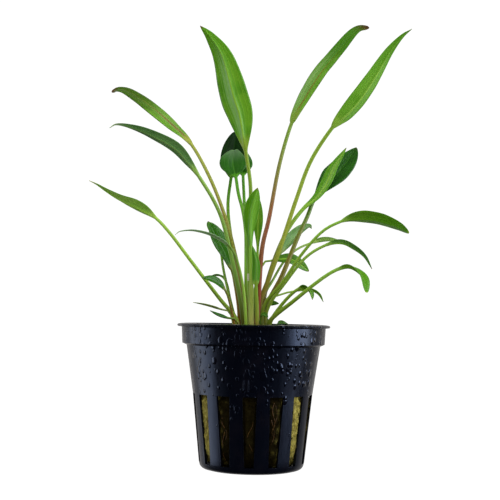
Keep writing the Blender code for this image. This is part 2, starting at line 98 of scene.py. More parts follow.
def smooth_step(value: Array) -> Array:
    """Rise smoothly from 0 to 1 while value goes from 0 to 1."""
    inside = np.clip(value, 0.0, 1.0)
    return inside * inside * (3.0 - 2.0 * inside)


def unit(rows: Array) -> Array:
    """Give every row of an array the length 1."""
    lengths = np.linalg.norm(rows, axis=-1, keepdims=True)
    return rows / np.maximum(lengths, 1e-9)


def turned(radius: Numbers, angle: Array, height: Numbers) -> Array:
    """Give places, one a row, by their distance from the axis, their angle and their height."""
    x, y = radius * np.cos(angle), radius * np.sin(angle)
    return np.column_stack((x, y, np.broadcast_to(height, x.shape)))


class Socket:
    """A shader socket that takes part in ordinary arithmetic."""

    def __init__(self, shader: "Shader", link: bpy.types.NodeSocket) -> None:
        """Keep the shader that the socket belongs to."""
        self.shader = shader
        self.link = link

    def math(self, operation: str, *others: "Value") -> "Socket":
        """Apply a Math node to this value, with any others after it.

        Args:
            operation: The Math node's operation.
            others: Its other values.

        Returns:
            The result's socket.
        """
        return self.shader.node(
            "ShaderNodeMath", {"operation": operation}, dict(enumerate((self, *others))))

    def __add__(self, other: "Value") -> "Socket":
        """Add another value."""
        return self.math("ADD", other)

    __radd__ = __add__

    def __sub__(self, other: "Value") -> "Socket":
        """Take another value away."""
        return self.math("SUBTRACT", other)

    def __rsub__(self, other: "Value") -> "Socket":
        """Take this value away from a number."""
        return self.shader.node("ShaderNodeMath", {"operation": "SUBTRACT"}, {0: other, 1: self})

    def __mul__(self, other: "Value") -> "Socket":
        """Multiply by another value."""
        return self.math("MULTIPLY", other)

    __rmul__ = __mul__

    def __truediv__(self, other: "Value") -> "Socket":
        """Divide by another value."""
        return self.math("DIVIDE", other)

    def __pow__(self, other: "Value") -> "Socket":
        """Raise to a power."""
        return self.math("POWER", other)

    def size(self) -> "Socket":
        """Drop the sign."""
        return self.math("ABSOLUTE")

    def between(self, low: float, high: float) -> "Socket":
        """Rise smoothly from 0 at low to 1 at high, or fall where low is the greater.

        Args:
            low: The value that gives 0.
            high: The value that gives 1.

        Returns:
            The mask's socket.
        """
        return self.shader.node(
            "ShaderNodeMapRange", {"interpolation_type": "SMOOTHSTEP"},
            {"Value": self, "From Min": low, "From Max": high})

    def larger(self, other: "Value") -> "Socket":
        """Take the larger of two values."""
        return self.math("MAXIMUM", other)


Value = Union[Socket, float]
Paint = Union[Socket, Colour]


class Shader:
    """One material, built node by node round a Principled shader."""

    # where a Mix node keeps its share, its two colours and its coloured result
    MIX_SHARE, MIX_LOW, MIX_HIGH, MIX_RESULT = 0, 6, 7, 2

    def __init__(self, name: str) -> None:
        """Start a material.

        Args:
            name: The material's name.
        """
        self.material = bpy.data.materials.new(name)
        self.material.use_nodes = True
        self.tree = self.material.node_tree
        self.principled = self.tree.nodes["Principled BSDF"]

    def node(self, kind: str, settings: Optional[dict[str, Any]] = None,
             inputs: Optional[dict[Any, Any]] = None, output: Any = 0) -> Socket:
        """Add a node.

        Args:
            kind: The node's type.
            settings: Its properties, which are set first.
            inputs: The values or links of its sockets, by name or place.
            output: The name or place of the socket that is returned.

        Returns:
            One of the node's outputs.
        """
        made = self.tree.nodes.new(kind)
        for name, value in (settings or {}).items():
            setattr(made, name, value)
        for key, value in (inputs or {}).items():
            self.feed(made.inputs[key], value)
        return Socket(self, made.outputs[output])

    def feed(self, socket: bpy.types.NodeSocket, value: Any) -> None:
        """Link a socket, or set its own value.

        Args:
            socket: The socket that takes the value.
            value: Another socket, a number, or a colour or vector.
        """
        if isinstance(value, Socket):
            self.tree.links.new(value.link, socket)
        elif isinstance(value, tuple) and len(socket.default_value) > len(value):
            socket.default_value = (*value, 1.0)
        else:
            socket.default_value = value

    def attribute(self, name: str) -> Socket:
        """Read a value that the mesh holds at its points."""
        return self.node("ShaderNodeAttribute", {"attribute_name": name}, output="Fac")

    def place(self, stretch: Place = (1.0, 1.0, 1.0)) -> Socket:
        """Give the place on the object in millimetres, stretched along each axis.

        Args:
            stretch: How much each axis is multiplied by.

        Returns:
            The vector's socket.
        """
        spot = self.node("ShaderNodeTexCoord", output="Object")
        scale = tuple(part / MM for part in stretch)
        return self.node("ShaderNodeVectorMath", {"operation": "MULTIPLY"}, {0: spot, 1: scale})

    def vector(self, x: Value, y: Value, z: Value) -> Socket:
        """Join three values into a vector."""
        return self.node("ShaderNodeCombineXYZ", None, {0: x, 1: y, 2: z})

    def noise(self, place: Socket, scale: float, detail: float = 3.0) -> Socket:
        """Add a cloudy noise.

        Args:
            place: Where it is read.
            scale: Its lumps to a unit of the place.
            detail: Its number of finer layers.

        Returns:
            A value from 0 to 1, about 0.5 on the average.
        """
        return self.node(
            "ShaderNodeTexNoise", None, {"Vector": place, "Scale": scale, "Detail": detail})

    def blend(self, low: Paint, high: Paint, share: Value) -> Socket:
        """Mix two colours.

        Args:
            low: The colour at share 0.
            high: The colour at share 1.
            share: How much of high there is.

        Returns:
            The mixed colour.
        """
        inputs = {self.MIX_SHARE: share, self.MIX_LOW: low, self.MIX_HIGH: high}
        return self.node("ShaderNodeMix", {"data_type": "RGBA"}, inputs, output=self.MIX_RESULT)

    def bump(self, height: Socket, depth_mm: float, below: Optional[Socket] = None) -> Socket:
        """Turn a height into a normal.

        Args:
            height: The height, where 1 stands depth_mm proud.
            depth_mm: The height's scale.
            below: A normal that this one is added to.

        Returns:
            The normal.
        """
        inputs: dict[Any, Any] = {"Height": height, "Distance": depth_mm * MM, "Strength": 1.0}
        if below is not None:
            inputs["Normal"] = below
        return self.node("ShaderNodeBump", None, inputs)

    def finish(self, **sockets: Any) -> bpy.types.Material:
        """Set the Principled shader's sockets.

        Args:
            sockets: Their values, named with underscores for spaces.

        Returns:
            The finished material.
        """
        for name, value in sockets.items():
            self.feed(self.principled.inputs[name.replace("_", " ")], value)
        return self.material


@dataclass
class Skin:
    """A mesh in the making, in millimetres, with named values at its points."""

    places: Array
    faces: Faces
    values: dict[str, Array] = field(default_factory=dict)

    def make(self, name: str, material: bpy.types.Material, slot: Slot,
             replaced: Sequence[str] = ()) -> bpy.types.Object:
        """Make the piece, with its faces turned outward, and set it in the frame.

        Args:
            name: The piece's name.
            material: Its finish.
            slot: The slot that the finish belongs to; not used.
            replaced: The nodes that the piece stands for.

        Returns:
            The piece.
        """
        mesh = bpy.data.meshes.new(name)
        mesh.from_pydata((self.places * MM).tolist(), [], self.faces)
        for key, values in self.values.items():
            attribute = mesh.attributes.new(key, "FLOAT", "POINT")
            attribute.data.foreach_set("value", np.ascontiguousarray(values, dtype=np.float32))
        shape = bmesh.new()
        shape.from_mesh(mesh)
        bmesh.ops.recalc_face_normals(shape, faces=shape.faces)
        shape.to_mesh(mesh)
        shape.free()
        mesh.shade_smooth()
        mesh.materials.append(material)
        piece = bpy.data.objects.new(name, mesh)
        bpy.context.scene.collection.objects.link(piece)
        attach(piece, BODY)
        if replaced:
            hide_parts(*replaced)
        log.info("%s: %d points, %d faces", name, len(mesh.vertices), len(mesh.polygons))
        return piece


def joined(first: Skin, second: Skin) -> Skin:
    """Put two skins without point values into one.

    Args:
        first: The skin whose points come first.
        second: The other skin.

    Returns:
        One skin of both.
    """
    start = len(first.places)
    moved = [tuple(start + point for point in face) for face in second.faces]
    return Skin(np.vstack((first.places, second.places)), first.faces + moved)


def band(start: int, columns: int, rows: int) -> Faces:
    """Join rows of points, each of which runs all the way round, by faces.

    Args:
        start: The first row's first point.
        columns: The number of points in a row.
        rows: The number of rows.

    Returns:
        The faces between the rows.
    """
    faces = []
    for row in range(rows - 1):
        here = start + row * columns
        there = here + columns
        for column in range(columns):
            after = (column + 1) % columns
            faces.append((here + column, here + after, there + after, there + column))
    return faces


def tubes(lines: Array, radii: Array, outward: Array, sides: int) -> Skin:
    """Lay a closed tube along every line of a set.

    Args:
        lines: The points of each line, as lines x points x 3.
        radii: The radius at each point, as lines x points.
        outward: A direction beside each line's points, as lines x points x 3.
        sides: The number of faces round a tube.

    Returns:
        One skin of all the tubes.
    """
    count, steps, _ = lines.shape
    along = unit(np.gradient(lines, axis=1))
    first = unit(np.cross(along, outward))
    second = np.cross(along, first)
    turn = FULL_TURN * np.arange(sides) / sides
    ring = (first[:, :, None, :] * np.cos(turn)[None, None, :, None]
            + second[:, :, None, :] * np.sin(turn)[None, None, :, None])
    places = lines[:, :, None, :] + ring * radii[:, :, None, None]
    faces: Faces = []
    for base in range(0, count * steps * sides, steps * sides):
        last = base + (steps - 1) * sides
        faces += band(base, sides, steps)
        faces.append(tuple(reversed(range(base, base + sides))))
        faces.append(tuple(range(last, last + sides)))
    return Skin(places.reshape(-1, 3), faces)


class LeafShader(Shader):
    """A shader that reads what a leaf's mesh says at its points.

    across is the place from margin to margin, from -1 to 1, and reach the same without its sign.
    along is the share of the blade's length and stem that of the stalk's. lamina is 1 on the
    blade and 0 on the stalk, and under 1 below and 0 above. side is the distance from the midrib
    and run that from the stalk's foot, in millimetres.
    """

    def __init__(self, name: str) -> None:
        """Start the shader.

        Args:
            name: The material's name.
        """
        super().__init__(name)
        self.across = self.attribute("across")
        self.reach = self.across.size()
        self.along = self.attribute("along")
        self.stem = self.attribute("stem")
        self.lamina = self.attribute("lamina")
        self.under = self.attribute("under")
        self.side = self.attribute("side_mm")
        self.run = self.attribute("run_mm")

    def streaks(self, across: Value, along: Value, apart: float, detail: float = 2.0) -> Socket:
        """Add a noise that differs between the leaf's upper and under sides.

        Args:
            across: The place across, at the noise's scale.
            along: The place along.
            apart: How far the noise on the under side is shifted.
            detail: The noise's number of finer layers.

        Returns:
            A value from 0 to 1.
        """
        return self.noise(self.vector(across, along, self.under * apart), 1.0, detail)


@dataclass(frozen=True)
class LeafFinish:
    """How a leaf is coloured, from the foot of its stalk to its tip.

    rib_mm is the midrib's half width. tip_from and far_from are the shares of the blade's length
    where the tip's and the far end's colours start. The painted sheen, a greyish reflection of the
    side lights, lies on one side of the midrib, about its middle share away, as far as its end.
    A scar is a stretch of the stalk, in millimetres from its foot. Each marking's depth says how
    strongly it shows, from 0 to 1.
    """

    CLOUD_DEPTH = 0.70
    GRAIN_DEPTH = 0.25
    BAND_DEPTH = 0.60
    FAR_DEPTH = 0.90
    FAR_SPREAD = 0.40
    # the painted sheen's strength, and how far along the blade it fades
    SHEEN_DEPTH = 0.80
    SHEEN_SPREAD = 0.40
    VEIN_DEPTH = 0.30
    NET_DEPTH = 0.12
    RIB_DEPTH = 0.90
    RIB_FADE = 0.75
    EDGE_DEPTH = 0.75
    EDGE_FROM = 0.91
    SCAR = srgb(188, 186, 160)
    SCAR_BLUR_MM = 0.15
    RELIEF_MM = 0.08
    SCATTER = 0.08
    SCATTER_MM = 0.5
    SCATTER_TINT = (0.7, 1.0, 0.15)

    name: str
    upper: Colour
    under: Colour
    deep: Colour
    rib: Colour
    edge: Colour
    tip: Colour
    foot: Colour
    middle: Colour
    neck: Colour
    flush: Colour
    rib_mm: float = 0.42
    rough: float = 0.40
    gloss: float = 0.28
    tip_from: float = 0.955
    far: Optional[Colour] = None
    far_from: float = 0.35
    # a painted sheen: a greyish colour that stands for the side lights' reflection on one side of
    # the blade
    glaze: Optional[Colour] = None
    glaze_side: float = 1.0
    glaze_middle: float = 0.25
    glaze_end: float = 1.3
    scar: Optional[tuple[float, float]] = None

    def paint(self) -> bpy.types.Material:
        """Make the material.

        Returns:
            The material, which reads the values that a leaf's mesh holds.
        """
        leaf = LeafShader(self.name)
        veins = self.vein_mask(leaf) * leaf.lamina
        net = self.net_mask(leaf) * leaf.lamina
        ribs = self.rib_mask(leaf)
        clouds = leaf.noise(leaf.place(), 0.16)
        grain = leaf.streaks(leaf.side * 2.2, leaf.run * 0.5, 9.0)
        bands = leaf.streaks(leaf.across * 3.4, leaf.along * 0.9, 5.0, 3.0)

        blade = leaf.blend(self.upper, self.under, leaf.under)
        blade = leaf.blend(blade, self.deep, clouds.between(0.44, 0.72) * self.CLOUD_DEPTH)
        blade = leaf.blend(blade, self.deep, grain.between(0.5, 0.9) * self.GRAIN_DEPTH)
        blade = leaf.blend(blade, self.deep, bands.between(0.48, 0.66) * self.BAND_DEPTH)
        if self.far is not None:
            border = leaf.along + (clouds - 0.5) * 0.3
            reached = border.between(self.far_from, self.far_from + self.FAR_SPREAD)
            blade = leaf.blend(blade, self.far, reached * self.FAR_DEPTH)
            ribs = ribs * (1.0 - reached * self.RIB_FADE)
        # painted sheen: the side lights' greyish reflection laid into the blade's colour along one
        # side
        if self.glaze is not None:
            blade = leaf.blend(blade, self.glaze, self.glaze_mask(leaf, bands) * self.SHEEN_DEPTH)
        margin = leaf.reach.between(self.EDGE_FROM, 1.0)
        end = (leaf.along + grain * 0.02).between(self.tip_from, 1.005)
        blade = leaf.blend(blade, self.rib, veins * self.VEIN_DEPTH)
        blade = leaf.blend(blade, self.deep, net * self.NET_DEPTH)
        blade = leaf.blend(blade, self.rib, ribs)
        blade = leaf.blend(blade, self.edge, margin * self.EDGE_DEPTH)
        blade = leaf.blend(blade, self.tip, end)
        colour = leaf.blend(self.paint_stalk(leaf), blade, leaf.lamina.between(0.05, 0.8))

        cells = leaf.noise(leaf.place(), 1.5, 2.0)
        relief = net * -0.14 + veins * 0.5 + grain * 0.3 + cells * 0.06
        rough = self.rough + (clouds - 0.5) * 0.25 + leaf.under * 0.06
        return leaf.finish(
            Base_Color=colour, Roughness=rough, Normal=leaf.bump(relief, self.RELIEF_MM),
            Specular_IOR_Level=self.gloss, Subsurface_Weight=self.SCATTER,
            Subsurface_Radius=self.SCATTER_TINT, Subsurface_Scale=self.SCATTER_MM * MM)

    def paint_stalk(self, leaf: LeafShader) -> Socket:
        """Colour the stalk, with its flushed streaks and any scar.

        Args:
            leaf: The leaf's shader.

        Returns:
            The colour.
        """
        flushed = leaf.streaks(leaf.across * 2.6, leaf.run * 0.035, 3.0).between(0.50, 0.68)
        stalk = leaf.blend(self.foot, self.middle, leaf.stem.between(0.0, 0.45))
        stalk = leaf.blend(stalk, self.neck, leaf.stem.between(0.45, 1.0))
        stalk = leaf.blend(stalk, self.flush, flushed * (0.85 - leaf.stem * 0.5))
        if self.scar is not None:
            low, high = self.scar
            blur = self.SCAR_BLUR_MM
            above = leaf.run.between(low - blur, low + blur)
            stalk = leaf.blend(stalk, self.SCAR, above * leaf.run.between(high + blur, high - blur))
        return stalk

    def glaze_mask(self, leaf: LeafShader, bands: Socket) -> Socket:
        """Mark the painted sheen, a greyish reflection of the side lights laid along one side of
        the blade.

        Args:
            leaf: The leaf's shader.
            bands: The blade's long bands, which unsettle the painted sheen's edges.

        Returns:
            The mask.
        """
        threads = leaf.streaks(leaf.across * 9.0, leaf.along * 1.4, 5.0)
        aside = (leaf.across * self.glaze_side + (bands - 0.5) * 0.7 - self.glaze_middle).size()
        fade = leaf.along.between(self.glaze_end, self.glaze_end - self.SHEEN_SPREAD)
        return aside.between(0.65, 0.15) * fade * threads.between(0.3, 0.6)

    def rib_mask(self, leaf: LeafShader) -> Socket:
        """Mark the midrib, which narrows towards the tip."""
        width = (1.0 - leaf.along * 0.75) * self.rib_mm
        return (leaf.side.size() / width).between(1.25, 0.6) * self.RIB_DEPTH

    def vein_mask(self, leaf: LeafShader) -> Socket:
        """Mark the two arched veins on each side of the midrib."""
        inner, outer = ((leaf.reach - place).size() for place in Leaf.VEIN_REACHES)
        return inner.between(0.045, 0.0).larger(outer.between(0.04, 0.0))

    def net_mask(self, leaf: LeafShader) -> Socket:
        """Mark the fine cross veins, which run slantwise to the margin.

        Args:
            leaf: The leaf's shader.

        Returns:
            The mask.
        """
        slant = leaf.run * 0.62 - leaf.side.size() * 0.45
        spot = leaf.vector(leaf.side * 0.95, slant, leaf.under * 4.0)
        edges = leaf.node("ShaderNodeTexVoronoi", {"feature": "DISTANCE_TO_EDGE"},
                          {"Vector": spot, "Scale": 0.9}, output="Distance")
        return edges.between(0.11, 0.02)


def mixed(name: str, base: Optional[LeafFinish] = None, **traits: Any) -> LeafFinish:
    """Mix a leaf's finish, anew or from another one.

    Args:
        name: The finish's name.
        base: The finish that it starts from.
        traits: What is its own, with the colours as a screen shows them.

    Returns:
        The finish.
    """
    own = {key: srgb(*value) if isinstance(value, tuple) and len(value) == 3 else value
           for key, value in traits.items()}
    return LeafFinish(name, **own) if base is None else replace(base, name=name, **own)


# Where a finish below sets a greyish sheen colour, that colour is a painted sheen, the side lights'
# reflection along one side of the blade.
FRESH = mixed(
    "fresh_leaf", upper=(88, 138, 18), under=(92, 144, 28), deep=(62, 120, 3), rib=(122, 164, 44),
    edge=(80, 132, 12), tip=(96, 72, 30), foot=(98, 96, 28), middle=(118, 150, 40),
    neck=(128, 164, 52), flush=(104, 84, 30))
TALL_SCARRED = mixed(
    "tall_scarred_leaf", FRESH, under=(90, 142, 22), deep=(58, 118, 1), tip=(96, 62, 34),
    tip_from=0.975, far=(74, 130, 3), far_from=0.5, glaze=(112, 158, 80), glaze_end=0.95,
    foot=(156, 172, 70), middle=(98, 146, 38), neck=(114, 140, 38), flush=(112, 118, 34),
    rough=0.36, scar=(19.4, 22.0))
RED_STALKED = mixed(
    "red_stalked_leaf", FRESH, upper=(92, 140, 34), deep=(62, 116, 10), rib=(108, 84, 38),
    edge=(84, 72, 22), tip=(60, 38, 14), tip_from=0.87, far=(46, 102, 1), far_from=0.35,
    glaze=(112, 148, 84), glaze_side=-1.0, glaze_middle=0.7, glaze_end=0.75, foot=(136, 44, 28),
    middle=(124, 78, 46), neck=(100, 132, 40), flush=(126, 36, 22), rib_mm=0.34)
BROWN_STALKED = mixed(
    "brown_stalked_leaf", FRESH, upper=(96, 142, 44), deep=(76, 124, 24), rib=(110, 86, 44),
    edge=(92, 104, 34), tip=(76, 50, 24), tip_from=0.93, far=(42, 72, 2), far_from=0.30,
    glaze=(116, 144, 80), glaze_middle=0.1, glaze_end=0.6, foot=(124, 76, 30),
    middle=(126, 130, 48), neck=(140, 150, 62), flush=(126, 74, 34), rib_mm=0.60)
ARCHED = mixed(
    "arched_leaf", FRESH, upper=(82, 132, 44), under=(96, 146, 58), deep=(56, 108, 26),
    far=(52, 100, 28), far_from=0.15, middle=(122, 156, 50), neck=(132, 172, 66))
SHORT = mixed(
    "short_leaf", FRESH, upper=(68, 116, 10), under=(76, 124, 18), deep=(50, 98, 1))
SATIN = mixed(
    "satin_leaf", FRESH, upper=(46, 100, 4), under=(64, 116, 14), deep=(32, 84, 1),
    rib=(84, 132, 34), edge=(112, 156, 50), foot=(120, 150, 56), middle=(116, 156, 54),
    neck=(112, 158, 50))
BRIGHT = mixed(
    "bright_leaf", upper=(82, 136, 16), under=(88, 140, 26), deep=(62, 122, 4), rib=(128, 168, 50),
    edge=(84, 138, 14), tip=(108, 108, 40), foot=(92, 120, 28), middle=(122, 162, 46),
    neck=(136, 178, 66), flush=(108, 122, 34))
LONG_STALKED = mixed(
    "long_stalked_leaf", BRIGHT, upper=(112, 154, 48), under=(118, 158, 58), deep=(94, 142, 32),
    tip=(158, 160, 104), tip_from=0.88, foot=(128, 152, 54), middle=(134, 172, 52),
    neck=(146, 186, 68))
BRIGHT_RIBBED = mixed(
    "bright_ribbed_leaf", BRIGHT, upper=(94, 148, 32), under=(98, 152, 36), deep=(76, 136, 12),
    rib=(134, 176, 68), tip=(96, 112, 40), far=(72, 130, 5), far_from=0.5, glaze=(110, 162, 66),
    glaze_side=-1.0, glaze_middle=0.5, glaze_end=0.85, foot=(104, 74, 28), middle=(136, 148, 50),
    neck=(118, 158, 46), flush=(118, 96, 38), rib_mm=0.5)
BROWN_FOOTED = mixed(
    "brown_footed_leaf", BRIGHT, foot=(104, 78, 28), middle=(102, 100, 34), neck=(114, 158, 46),
    flush=(112, 84, 34), glaze=(122, 162, 76))
# its lighter greyish colour near the blade's start is the leaf's green with a painted sheen in it;
# beyond a fifth of the blade it turns its own darker green
LEVEL = mixed(
    "level_leaf", BRIGHT, upper=(92, 138, 36), under=(84, 132, 18), deep=(62, 110, 6),
    edge=(78, 124, 18), tip=(138, 164, 52), tip_from=0.98, rib=(84, 128, 24), far=(66, 120, 2),
    far_from=0.2, foot=(88, 94, 26), middle=(112, 144, 38), neck=(126, 172, 58))
UPRIGHT = mixed(
    "upright_leaf", BRIGHT, upper=(70, 126, 2), under=(76, 132, 6), deep=(54, 110, 1),
    rib=(90, 142, 16), edge=(100, 152, 40), glaze=(108, 162, 48), glaze_side=-1.0, glaze_middle=0.4,
    foot=(172, 170, 96), middle=(146, 164, 72), neck=(120, 168, 52), flush=(128, 142, 56))
SPEAR = mixed(
    "spear_leaf", UPRIGHT, under=(64, 120, 2), deep=(46, 102, 1), glaze=None, rib=(80, 132, 12),
    foot=(140, 84, 46), middle=(120, 138, 40), neck=(108, 148, 36), flush=(134, 70, 40))
DEEP = mixed(
    "deep_leaf", upper=(34, 84, 16), under=(56, 102, 34), deep=(20, 60, 10), rib=(50, 98, 24),
    edge=(50, 94, 32), tip=(52, 68, 24), foot=(88, 86, 26), middle=(104, 98, 34),
    neck=(78, 116, 36), flush=(104, 76, 30), rib_mm=0.34, rough=0.34)
# a deep green darkened further by painted shade, for the leaf that stands in shadow behind the
# others
SHADED_DEEP = mixed(
    "night_leaf", DEEP, upper=(12, 38, 8), under=(24, 60, 16), deep=(8, 28, 5), rib=(20, 50, 12),
    edge=(20, 48, 12), foot=(128, 62, 34), middle=(116, 150, 56), neck=(72, 126, 32),
    flush=(112, 92, 40), rough=0.55, gloss=0.08)
# its grey-green tip colour, from 0.45 of the blade on, is a painted sheen where the blade bends
# over
HOODED = mixed(
    "hooded_leaf", SHADED_DEEP, upper=(36, 90, 14), under=(48, 102, 22), deep=(26, 76, 8),
    rib=(56, 110, 26), edge=(60, 108, 34), tip=(82, 114, 74), tip_from=0.45, foot=(134, 152, 62),
    middle=(118, 172, 52), neck=(72, 136, 24), rough=0.34, gloss=0.28)
GLOSSY_DEEP = mixed(
    "glossy_deep_leaf", DEEP, upper=(40, 94, 3), under=(60, 110, 14), deep=(26, 76, 1),
    edge=(88, 134, 36), tip=(70, 118, 20), foot=(122, 84, 24), middle=(116, 90, 24),
    neck=(100, 112, 30))
BUD = mixed(
    "bud_leaf", DEEP, upper=(54, 90, 12), under=(66, 96, 20), deep=(36, 72, 4), foot=(50, 86, 8),
    middle=(50, 86, 8), neck=(40, 78, 5), flush=(78, 68, 14))
BLUISH = mixed(
    "bluish_leaf", upper=(58, 104, 42), under=(76, 116, 58), deep=(50, 92, 38), rib=(88, 118, 50),
    edge=(78, 114, 58), tip=(134, 150, 112), tip_from=0.84, foot=(78, 74, 16),
    middle=(112, 152, 60), neck=(124, 160, 68), flush=(98, 112, 32), rib_mm=0.34)
CURLED = mixed(
    "curled_leaf", BLUISH, upper=(80, 128, 42), under=(92, 134, 64), deep=(70, 116, 38),
    rib=(102, 134, 56), edge=(92, 130, 62), tip_from=0.93, foot=(92, 66, 24), middle=(112, 122, 48),
    neck=(112, 134, 54))
RIBBON = mixed(
    "ribbon_leaf", BLUISH, upper=(120, 150, 108), under=(112, 142, 98), deep=(72, 114, 48),
    rib=(120, 146, 98), edge=(134, 156, 124), tip=(160, 172, 150), foot=(124, 150, 48),
    middle=(142, 184, 68), neck=(96, 128, 46))
OLIVE = mixed(
    "olive_leaf", upper=(92, 128, 46), under=(102, 138, 56), deep=(80, 116, 32), rib=(116, 144, 60),
    edge=(96, 128, 48), tip=(108, 118, 54), foot=(88, 108, 24), middle=(126, 160, 66),
    neck=(130, 162, 74), flush=(100, 98, 36))
THREAD = mixed(
    "thread_leaf", OLIVE, upper=(146, 164, 92), under=(140, 158, 90), deep=(124, 142, 66),
    tip=(176, 160, 120), middle=(140, 156, 84), neck=(150, 170, 96))


class Route:
    """A fine smooth line through a leaf's own points, read by the distance along it."""

    SAMPLES = 12

    def __init__(self, points: Array) -> None:
        """Draw the line.

        Args:
            points: The points that it passes through, one a row.
        """
        ends = np.vstack((2.0 * points[0] - points[1], points, 2.0 * points[-1] - points[-2]))
        before, start, end, after = ends[:-3], ends[1:-2], ends[2:-1], ends[3:]
        t = (np.arange(self.SAMPLES) / self.SAMPLES)[None, :, None]
        fine = 0.5 * (
            2.0 * start[:, None]
            + (end - before)[:, None] * t
            + (2.0 * before - 5.0 * start + 4.0 * end - after)[:, None] * t ** 2
            + (3.0 * start - before - 3.0 * end + after)[:, None] * t ** 3
        )
        self.fine = np.vstack((fine.reshape(-1, 3), points[-1]))
        steps = np.linalg.norm(np.diff(self.fine, axis=0), axis=1)
        self.reached = np.concatenate(((0.0,), np.cumsum(steps)))
        self.length = float(self.reached[-1])

    def at(self, distance: Array) -> Array:
        """Find the points at some distances, in line with the first stretch before its start.

        Args:
            distance: The distances from the start.

        Returns:
            The points, one a row.
        """
        inside = np.stack([np.interp(distance, self.reached, part) for part in self.fine.T], axis=1)
        first = unit(self.fine[1] - self.fine[0])
        return inside + np.minimum(distance, 0.0)[:, None] * first[None]

    def direction(self, distance: Array) -> Array:
        """Find the way that the line runs at some distances.

        Args:
            distance: The distances from the start.

        Returns:
            The directions, one a row.
        """
        reach = self.length / len(self.fine)
        before = self.at(np.clip(distance - reach, -reach, self.length - reach))
        after = self.at(np.clip(distance + reach, reach, self.length))
        return unit(after - before)


@dataclass
class Leaf:
    """One leaf: a round stalk that widens into a thin, folded and veined blade.

    stalk holds the (x, z) points that the stalk passes through, and blade those of the midrib.
    lean is how far back the tip lies behind the foot. face is the way the blade's upper side
    looks at its start, and tip_face at its tip. widest is the share of the blade's length where
    it is widest, and the powers say how slim it is before and after that. skew is how much wider
    one half is. The line follows the leaf's solid, apart from small corrections by the photograph.
    """

    # how finely the leaf is modelled
    RING_POINTS = 40
    STALK_STEP = 2.2
    BLADE_STEP = 0.7
    FEWEST_BLADE_RINGS = 30
    # the stalk: how deep it is buried, and its radii at the neck and the foot as shares
    BURIED = 1.6
    NECK = 0.85
    SWELL = 1.25
    SWELL_POWER = 2.5
    # the blade: half its thickness, how much thinner it ends, and its narrowest half width
    LAMINA = 0.17
    LAMINA_TAPER = 0.45
    TIP_WIDTH = 0.10
    # the midrib: its height and width, and how far it stands out below and sinks above
    RIB_SHARE = 0.95
    RIB_POWER = 0.7
    RIB_LEAST = 0.06
    RIB_SPREAD = 0.9
    RIB_BELOW = -1.5
    RIB_ABOVE = -0.25
    # the stalk's channel on its upper side
    CHANNEL_SINK = -0.22
    CHANNEL_REACH = 0.35
    # the arched veins: their places across, width, depth and fading towards the tip
    VEIN_REACHES = (0.333, 0.641)
    VEIN_SPREAD = 0.05
    VEIN_SINK = 0.055
    VEIN_FADE = 0.7
    # the fold's rounding, the halves' bow, and the margins' waves by length and strength
    FOLD_ROUNDING = 0.004
    BOW = 0.28
    WAVES = ((13.0, 1.0), (7.5, 0.5))
    WAVE_STRETCH = (0.85, 1.2)
    WAVE_POWER = 2.2
    FULL_WAVE_WIDTH = 4.0

    name: str
    slot: Slot
    finish: LeafFinish
    foot: Point
    lean: float
    stalk: Sequence[Point]
    blade: Sequence[Point]
    half_width: float
    face: Place
    tip_face: Optional[Place] = None
    widest: float = 0.42
    base_power: float = 1.2
    tip_power: float = 0.8
    fold_deg: float = 16.0
    stalk_radius: float = 0.60
    lean_power: float = 1.7
    wave: float = 0.10
    skew: float = 0.04

    def route(self, foot_z: float) -> tuple[Route, float]:
        """Draw the leaf's line.

        Args:
            foot_z: The height at which the stalk leaves the crown.

        Returns:
            The line, and the distance along it to the blade's start.
        """
        front = np.array([(self.foot[0], foot_z), *self.stalk, *self.blade])
        steps = np.linalg.norm(np.diff(front, axis=0), axis=1)
        reached = np.concatenate(((0.0,), np.cumsum(steps)))
        depth = self.foot[1] + self.lean * (reached / reached[-1]) ** self.lean_power
        line = Route(np.column_stack((front[:, 0], depth, front[:, 1])))
        return line, float(line.reached[Route.SAMPLES * (1 + len(self.stalk))])

    def outline(self, u: Array) -> Array:
        """Give the blade's width at shares of its length.

        Args:
            u: The shares of the blade's length.

        Returns:
            The widths, 1 where the blade is widest.
        """
        power = np.where(u < self.widest, self.base_power, self.tip_power)
        wave = np.sin(np.pi * np.clip(u, 0.0, 1.0) ** (math.log(0.5) / math.log(self.widest)))
        return np.maximum(wave, 0.0) ** power

    def build(self, foot_z: float) -> Skin:
        """Model the leaf.

        Args:
            foot_z: The height at which the stalk leaves the crown.

        Returns:
            The leaf's skin.
        """
        line, start = self.route(foot_z)
        distance, u, stem = self.rings(line, start)
        flat = smooth_step(u / 0.22)
        neck = self.stalk_radius * self.NECK
        width, thick = self.sizes(u, stem, neck)
        v, body, upward = self.ring_shape(flat)
        lean_over = 1.0 + self.skew * np.sign(v) * flat[:, None]
        side = width[:, None] * v * lean_over
        rise = thick[:, None] * body * upward
        rise += self.relief(u, flat, neck, thick, side, v, upward)
        rise += self.bend(u, flat, width, distance, v)

        along = line.direction(distance)
        start_face = np.array(self.face)
        faces = start_face + (np.array(self.tip_face or self.face) - start_face) * u[:, None]
        face = unit(faces - along * np.sum(faces * along, axis=1, keepdims=True))
        across = np.cross(along, face)
        centre = line.at(distance)[:, None]
        places = centre + across[:, None] * side[..., None] + face[:, None] * rise[..., None]

        # each value at the rings' points, and at the tip's point after them
        rows, points = v.shape
        tip = line.at(np.array((line.length,)))
        marks = {
            "across": (v.ravel(), 0.0),
            "along": (np.repeat(u, points), 1.0),
            "stem": (np.repeat(stem, points), 1.0),
            "lamina": (np.repeat(flat, points), 1.0),
            "under": (np.tile(0.5 - 0.5 * upward, (rows, 1)).ravel(), 0.5),
            "side_mm": (side.ravel(), 0.0),
            "run_mm": (np.repeat(distance, points), line.length),
        }
        values = {key: np.append(rings, end) for key, (rings, end) in marks.items()}
        return Skin(np.vstack((places.reshape(-1, 3), tip)), self.ring_faces(rows, points), values)

